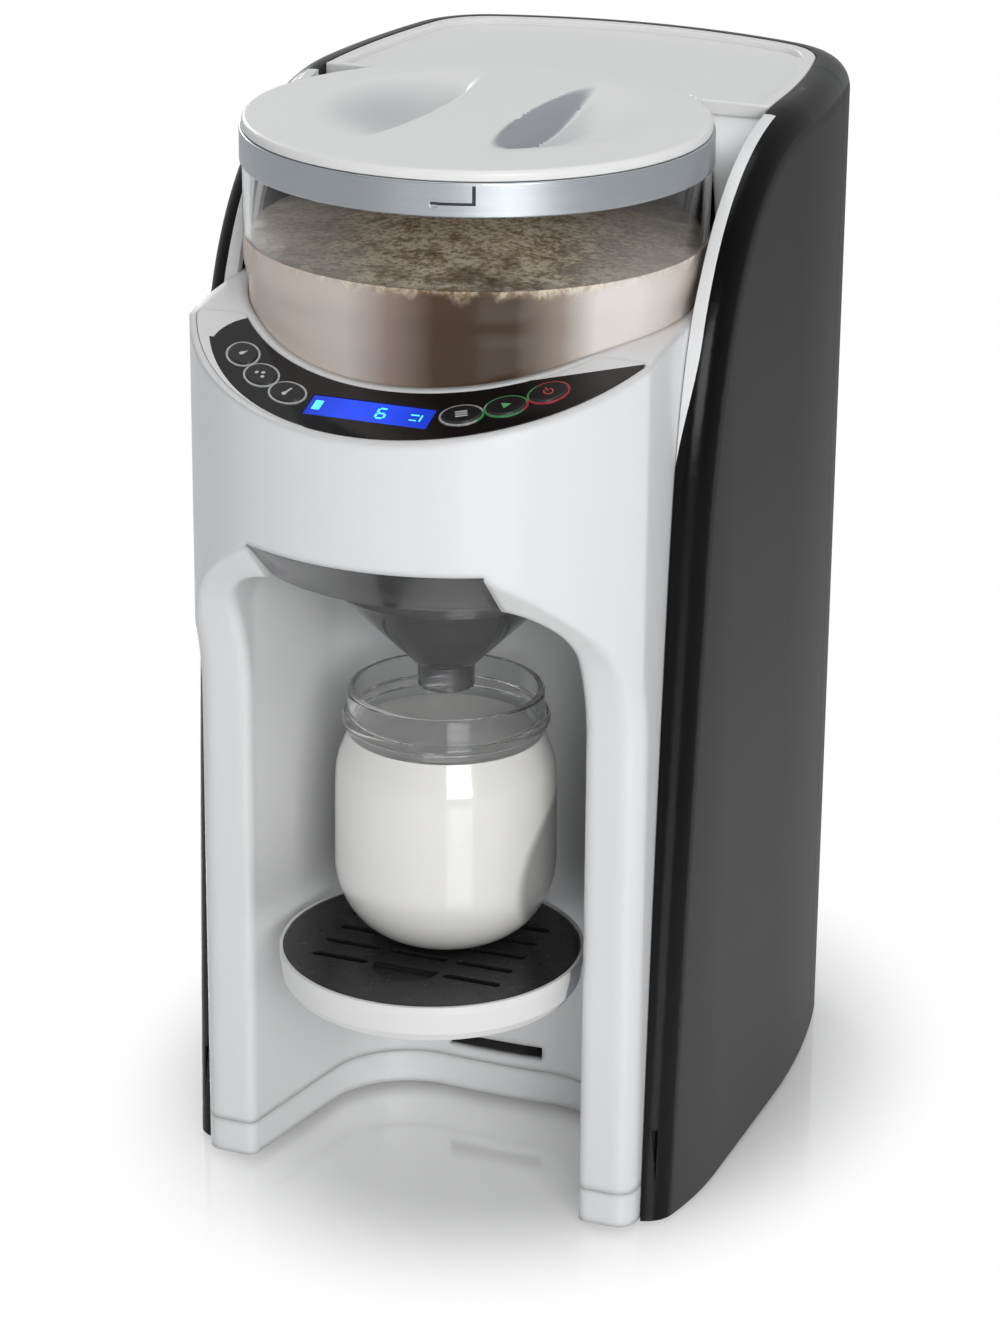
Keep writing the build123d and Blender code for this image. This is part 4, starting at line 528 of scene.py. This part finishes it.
lathe("bottle_shape", metres((0.0, 101.5), (12.0, 101.5), (13.0, 100.6), (13.7, 100.3)) + bottle_side(0.0)
      + smooth_path(metres(*BOTTLE_BEAD), 4) + bottle_side(BOTTLE_WALL)[::-1] + metres((0.0, 102.7)),
      BOTTLE_Y, "bottle_clear", "bottle", "bottle_glass")
wet = [(r + FILM, z) for r, z in bottle_side(0.0) if 100.8 * MM < z < MILK_LEVEL - 0.5 * MM]
meniscus = [(wet[-1][0] - inward * MM, MILK_LEVEL + rise * MM)
            for inward, rise in ((0.3, 0.0), (2.4, 0.2), (3.2, 0.0))]
lathe("milk_fill", metres((0.0, 102.8), (15.0, 102.8)) + wet + meniscus + [(0.0, MILK_LEVEL - 0.1 * MM)],
      BOTTLE_Y, "milk_white", "bottle", "milk")

# clear container and powder
WINDOW_FOOT_R, WINDOW_R, WINDOW_WALL = 84.2 * MM, 86.2 * MM, 2.5 * MM
WINDOW_LEDGE_Z, WINDOW_FLARE_H = 352.2 * MM, 12.0 * MM
POWDER_EDGE_Z = 371.6 * MM


def window_side(inset):
    """Side of the clear window: straight, and a little wider above the wings' ledge."""
    steps = 8
    side = [(WINDOW_FOOT_R - inset, 350.0 * MM)]
    for step in range(steps + 1):
        t = step / steps
        side.append((WINDOW_FOOT_R + (WINDOW_R - WINDOW_FOOT_R) * ease(t) - inset,
                     WINDOW_LEDGE_Z + WINDOW_FLARE_H * t))
    return side + [(WINDOW_R - inset, 380.0 * MM), (WINDOW_R - inset, 398.2 * MM)]


neck = metres((83.0, 398.3), (83.0, 403.8), (80.5, 403.8), (80.5, 398.2))
lathe("window_shape", metres((80.5, 292.6), (83.0, 292.6)) + [(WINDOW_FOOT_R, 303.0 * MM)] + window_side(0.0)
      + neck + window_side(WINDOW_WALL)[::-1] + [(WINDOW_FOOT_R - WINDOW_WALL, 304.5 * MM)],
      CONTAINER_Y, "clear_window", "powder_container", "container_body")
heap_foot = metres((66.0, 297.7), (77.5, 294.8), (77.5, 302.6), (80.4, 303.0), (81.6, 306.0), (82.5, 306.2))
heap_side = [(r + FILM, z) for r, z in [(WINDOW_FOOT_R, 306.4 * MM)] + window_side(0.0) if z < POWDER_EDGE_Z]
heap_top = [(WINDOW_R + FILM, POWDER_EDGE_Z + 0.2 * MM)]
heap_top += metres((83.6, 372.0), (82.0, 372.6), (60.0, 374.2), (30.0, 378.2), (12.0, 379.8), (0.0, 380.0))
stirrer_room = metres((0.0, 319.7), (66.0, 319.7))
lathe("powder_heap", heap_foot + heap_side + heap_top + stirrer_room,
      CONTAINER_Y, "powder_beige", "powder_container", "formula_powder")

# lid
SCOOP_R, SCOOP_DEPTH, SCOOP_Y, GRIP_HALF = 68.0 * MM, 12.0 * MM, 8.0 * MM, 16.0 * MM
LID_EDGE, LID_WALL, LID_PLUG_R = 1.6 * MM, 2.5 * MM, 77.6 * MM


def scoops(x, y):
    """Depth of the two hollows beside the grip: steep at the grip, running out at the rim."""
    reach = math.hypot(x, y - SCOOP_Y) / SCOOP_R
    bow = 9 * MM * (abs(y - SCOOP_Y) / SCOOP_R) ** 2
    return SCOOP_DEPTH * ease((abs(x) - GRIP_HALF - bow) / (6 * MM)) * (1 - ease((reach - 0.24) / 0.74))


radii = [(LID_R - LID_EDGE) * i / 56 for i in range(1, 57)]
rim = [(LID_R - LID_EDGE * (1 - math.sin(math.radians(a))),
        LID_TOP - LID_EDGE * (1 - math.cos(math.radians(a)))) for a in (18, 36, 54, 72, 90)]
flange = [(LID_R, 411.3 * MM), (80.2 * MM, 411.3 * MM), (80.1 * MM, 403.0 * MM), (LID_PLUG_R, 403.0 * MM),
          (LID_PLUG_R, LID_TOP - LID_WALL - 0.1 * MM)]
under = [(r, LID_TOP - LID_WALL) for r in reversed(radii) if r < LID_PLUG_R - 0.1 * MM]
lathe("lid_shape", [(0.0, LID_TOP)] + [(r, LID_TOP) for r in radii] + rim + flange + under
      + [(0.0, LID_TOP - LID_WALL)],
      CONTAINER_Y, "white_gloss", "container_lid", "lid", steps=160, sink=scoops)


# ---- printed marks and display segments, outlines in millimetres --------------
def brow_frame(x, y, turn=0.0, lift=0.0):
    """Placement on the sloping panel: its X along the panel, Z out of it."""
    tilt = math.atan(BROW_SLOPE)
    height = BROW_Z0 + BROW_SLOPE * (y - BROW_FRONT_Y)
    up = Vector((0.0, -math.sin(tilt), math.cos(tilt)))
    place = Matrix.Translation(Vector((x, y, height)) + lift * up)
    return place @ Matrix.Rotation(tilt, 4, "X") @ Matrix.Rotation(math.radians(turn), 4, "Z")


def thin_shape(name, outlines, place, thick, finish, body):
    """Raised flat mark from closed outlines, each a list of (x, y)."""
    made = bmesh.new()
    for outline in outlines:
        made.faces.new([made.verts.new((x * MM, y * MM, 0.0)) for x, y in outline])
    grown = bmesh.ops.extrude_face_region(made, geom=list(made.faces))
    tops = [item for item in grown["geom"] if isinstance(item, bmesh.types.BMVert)]
    bmesh.ops.translate(made, vec=(0.0, 0.0, thick), verts=tops)
    bmesh.ops.recalc_face_normals(made, faces=list(made.faces))
    bmesh.ops.transform(made, matrix=place, verts=list(made.verts))
    place_mesh(name, made, finish, body)


def ring_outline(radius, width, start, end, steps=28):
    """Open band along an arc, in degrees."""
    turns = [math.radians(start + (end - start) * i / steps) for i in range(steps + 1)]
    outer = [(radius * math.cos(t), radius * math.sin(t)) for t in turns]
    inner = [((radius - width) * math.cos(t), (radius - width) * math.sin(t)) for t in reversed(turns)]
    return outer + inner


def drop_outline(size, steps=24):
    """Water drop, point up."""
    points = []
    for i in range(steps):
        t = 2 * math.pi * i / steps
        wide = size * 0.62 * math.sin(t) * math.sin(t / 2) ** 1.6
        points.append((wide, size * math.cos(t) * (1.0 if math.cos(t) > 0 else 0.62)))
    return points


def bar(x, y, half_x, half_y):
    return [(x - half_x, y - half_y), (x + half_x, y - half_y),
            (x + half_x, y + half_y), (x - half_x, y + half_y)]


def disc(x, y, radius, steps=20):
    turns = [2 * math.pi * i / steps for i in range(steps)]
    return [(x + radius * math.cos(t), y + radius * math.sin(t)) for t in turns]


def segments(x, y, wide, high, thick, lit):
    """Seven-segment figure; lit names its bars: a top, then clockwise, g middle."""
    w, h, t = wide / 2, high / 2, thick / 2
    bars = {"a": bar(x, y + h, w - t, t), "b": bar(x + w, y + h / 2, t, h / 2 - t),
            "c": bar(x + w, y - h / 2, t, h / 2 - t), "d": bar(x, y - h, w - t, t),
            "e": bar(x - w, y - h / 2, t, h / 2 - t), "f": bar(x - w, y + h / 2, t, h / 2 - t),
            "g": bar(x, y, w - t, t)}
    return [bars[key] for key in lit]


ICONS = {
    "water_volume_button": [drop_outline(2.2)],
    "powder_setting_button": [disc(-1.9, -0.7, 0.75), disc(0, 0.9, 0.75), disc(1.9, -0.7, 0.75)],
    "temperature_button": [bar(0, 0.8, 0.42, 1.5), disc(0, -1.5, 0.95)],
    "mode_button": [bar(0, y, 2.2, 0.32) for y in (1.3, 0, -1.3)],
    "start_button": [[(-1.3, -1.7), (2.0, 0), (-1.3, 1.7)]],
    "power_button": [ring_outline(1.9, 0.5, 125.0, 415.0), bar(0, 1.5, 0.27, 1.1)],
}
ICON_THICK, SEGMENT_THICK = 0.05 * MM, 0.06 * MM
mark_white = plain("mark_white", (0.55, 0.56, 0.57), (0.70, 0.71, 0.72), 0.5, scale=300.0)
mark_green = plain("mark_green", (0.10, 0.38, 0.16), (0.16, 0.50, 0.22), 0.5, scale=300.0)
mark_red = plain("mark_red", (0.55, 0.06, 0.08), (0.68, 0.09, 0.11), 0.5, scale=300.0)
ICON_FINISH = {"start_button": mark_green, "power_button": mark_red}
for name, angle in zip(KEY_NAMES, KEY_ANGLES):
    turn = math.radians(angle)
    spot = brow_frame(KEY_RING_R * math.sin(turn), KEY_RING_Y - KEY_RING_R * math.cos(turn),
                      angle, KEY_CROWN)
    thin_shape(name + "_mark", ICONS[name], spot, ICON_THICK, ICON_FINISH.get(name, mark_white), name)

DISPLAY_MARKS = {
    "display_digit": segments(4.6, 0, 3.2, 5.6, 0.8, "acdefg"),
    "display_bar": [bar(-20.0, 0.2, 1.5, 2.6)],
    "display_unit": [bar(17.0, -1.6, 1.4, 0.25), bar(17.0, 1.4, 1.6, 0.3), bar(19.6, 0.0, 0.3, 1.8)],
}
cyan = glow_mark("segment_cyan", (0.10, 0.85, 1.0), 1.0)
for name, outlines in DISPLAY_MARKS.items():
    thin_shape(name, outlines, brow_frame(0.0, DISPLAY_Y, 0.0, DISPLAY_FACE), SEGMENT_THICK, cyan, "machine")


# ---- floor, light and camera -------------------------------------------------
FLOOR_HALF = 9.0
FLOOR_STRETCH, FLOOR_OFFSET = (1.15, 0.90, 1.0), (0.0, -0.027, 0.0)     # oval round the machine's foot
FLOOR_NEAR, FLOOR_FAR, FLOOR_NEAR_WHITE = 0.110, 0.200, 0.10            # where the plain white takes over
ROOM_FRONT = (0.33, -0.87, 0.36)                                        # the room is dimmest this way
ROOM_LEVELS = (0.25, 0.9, 0.50, 0.20)                                   # facing from, to; strength from, to
CAMERA_PLACE = (0.551, -1.406, 0.765)
CAMERA_AZIMUTH, CAMERA_ELEVATION, CAMERA_ROLL = 21.0, 20.9, 0.7
CAMERA_SENSOR = 36.0
CAMERA_LENS = 4108.9 / 1333.0 * CAMERA_SENSOR                           # focal length in photo pixels, in mm
CAMERA_SHIFT = (-0.0293, -0.0069)


def floor():
    """Pale glossy floor that fades to plain white for the camera, away from the machine."""
    mesh = bpy.data.meshes.new("floor")
    made = bmesh.new()
    bmesh.ops.create_grid(made, x_segments=8, y_segments=8, size=FLOOR_HALF)
    made.to_mesh(mesh)
    made.free()
    thing = bpy.data.objects.new("floor", mesh)
    bpy.context.scene.collection.objects.link(thing)
    look = Finish("floor_white")
    around = look.add("ShaderNodeMapping")
    look.feed(around.inputs["Vector"], look.coords)
    around.inputs["Location"].default_value = FLOOR_OFFSET
    around.inputs["Scale"].default_value = FLOOR_STRETCH
    reach = look.add("ShaderNodeVectorMath", operation="LENGTH")
    look.feed(reach.inputs[0], around.outputs[0])
    look.set(Base_Color=look.mix(look.noise(3.0), (0.90, 0.90, 0.905), (0.92, 0.92, 0.925)),
             Roughness=look.range(look.noise(8.0), 0.3, 0.7, 0.07, 0.09), IOR=2.5)
    far = look.range(reach.outputs["Value"], FLOOR_NEAR, FLOOR_FAR, FLOOR_NEAR_WHITE, 1.0)
    ray = look.add("ShaderNodeLightPath")
    glow = look.add("ShaderNodeEmission")
    glow.inputs["Color"].default_value = (1.0, 1.0, 1.0, 1.0)
    blend = look.add("ShaderNodeMixShader")
    look.feed(blend.inputs[0], look.times(far, ray.outputs["Is Camera Ray"]))
    look.feed(blend.inputs[1], look.shader.outputs[0])
    look.feed(blend.inputs[2], glow.outputs[0])
    look.feed(look.tree.nodes["Material Output"].inputs["Surface"], blend.outputs[0])
    mesh.materials.append(look.material)


def softbox(name, place, aim, size, power):
    """Square area lamp turned towards a point."""
    lamp = bpy.data.lights.new(name, "AREA")
    lamp.shape = "RECTANGLE"
    lamp.size, lamp.size_y, lamp.energy = size, size, power
    thing = bpy.data.objects.new(name, lamp)
    bpy.context.scene.collection.objects.link(thing)
    thing.location = place
    thing.rotation_euler = (Vector(aim) - Vector(place)).to_track_quat("-Z", "Y").to_euler()


def surroundings():
    """White behind the machine for the camera, a softer studio for everything else."""
    world = bpy.data.worlds.new("studio")
    bpy.context.scene.world = world
    world.use_nodes = True
    tree = world.node_tree
    tree.nodes.clear()
    out = tree.nodes.new("ShaderNodeOutputWorld")
    white = tree.nodes.new("ShaderNodeBackground")
    white.inputs["Color"].default_value = (1.0, 1.0, 1.0, 1.0)
    room = tree.nodes.new("ShaderNodeBackground")
    coords = tree.nodes.new("ShaderNodeTexCoord")
    facing = tree.nodes.new("ShaderNodeVectorMath")
    facing.operation = "DOT_PRODUCT"
    facing.inputs[1].default_value = ROOM_FRONT
    tree.links.new(coords.outputs["Generated"], facing.inputs[0])
    level = tree.nodes.new("ShaderNodeMapRange")
    level.interpolation_type = "SMOOTHSTEP"
    for socket, value in zip(level.inputs[1:5], ROOM_LEVELS):
        socket.default_value = value
    tree.links.new(facing.outputs["Value"], level.inputs[0])
    tree.links.new(level.outputs[0], room.inputs["Strength"])
    room.inputs["Color"].default_value = (0.97, 0.985, 1.0, 1.0)
    ray = tree.nodes.new("ShaderNodeLightPath")
    blend = tree.nodes.new("ShaderNodeMixShader")
    tree.links.new(ray.outputs["Is Camera Ray"], blend.inputs[0])
    tree.links.new(room.outputs[0], blend.inputs[1])
    tree.links.new(white.outputs[0], blend.inputs[2])
    tree.links.new(blend.outputs[0], out.inputs["Surface"])


def camera():
    """Camera at the photograph's angle, a long lens with a small shift."""
    data = bpy.data.cameras.new("camera")
    thing = bpy.data.objects.new("camera", data)
    bpy.context.scene.collection.objects.link(thing)
    azimuth, elevation, roll = (math.radians(a) for a in (CAMERA_AZIMUTH, CAMERA_ELEVATION, CAMERA_ROLL))
    back = Vector((math.sin(azimuth) * math.cos(elevation), -math.cos(azimuth) * math.cos(elevation),
                   math.sin(elevation)))
    level = Vector((math.cos(azimuth), math.sin(azimuth), 0.0))
    right = level * math.cos(roll) + back.cross(level) * math.sin(roll)
    turn = Matrix((right, back.cross(right), back)).transposed()
    thing.matrix_world = Matrix.Translation(CAMERA_PLACE) @ turn.to_4x4()
    data.sensor_width = CAMERA_SENSOR
    data.lens = CAMERA_LENS
    data.shift_x, data.shift_y = CAMERA_SHIFT
    data.clip_start, data.clip_end = 0.05, 50.0
    bpy.context.scene.camera = thing


floor()
softbox("key_right", (1.25, -1.75, 0.80), (0.0, -0.05, 0.20), 1.0, 24.0)
softbox("fill_front", (-0.3, -2.2, 0.5), (0.0, -0.05, 0.15), 1.0, 1.5)
softbox("top", (0.0, 0.1, 2.0), (0.0, 0.0, 0.2), 1.2, 8.0)
softbox("graze_back", (-1.2, 1.2, 0.85), (0.0, -0.04, 0.41), 0.5, 4.5)
surroundings()
camera()
bpy.context.scene.view_settings.view_transform = "Standard"
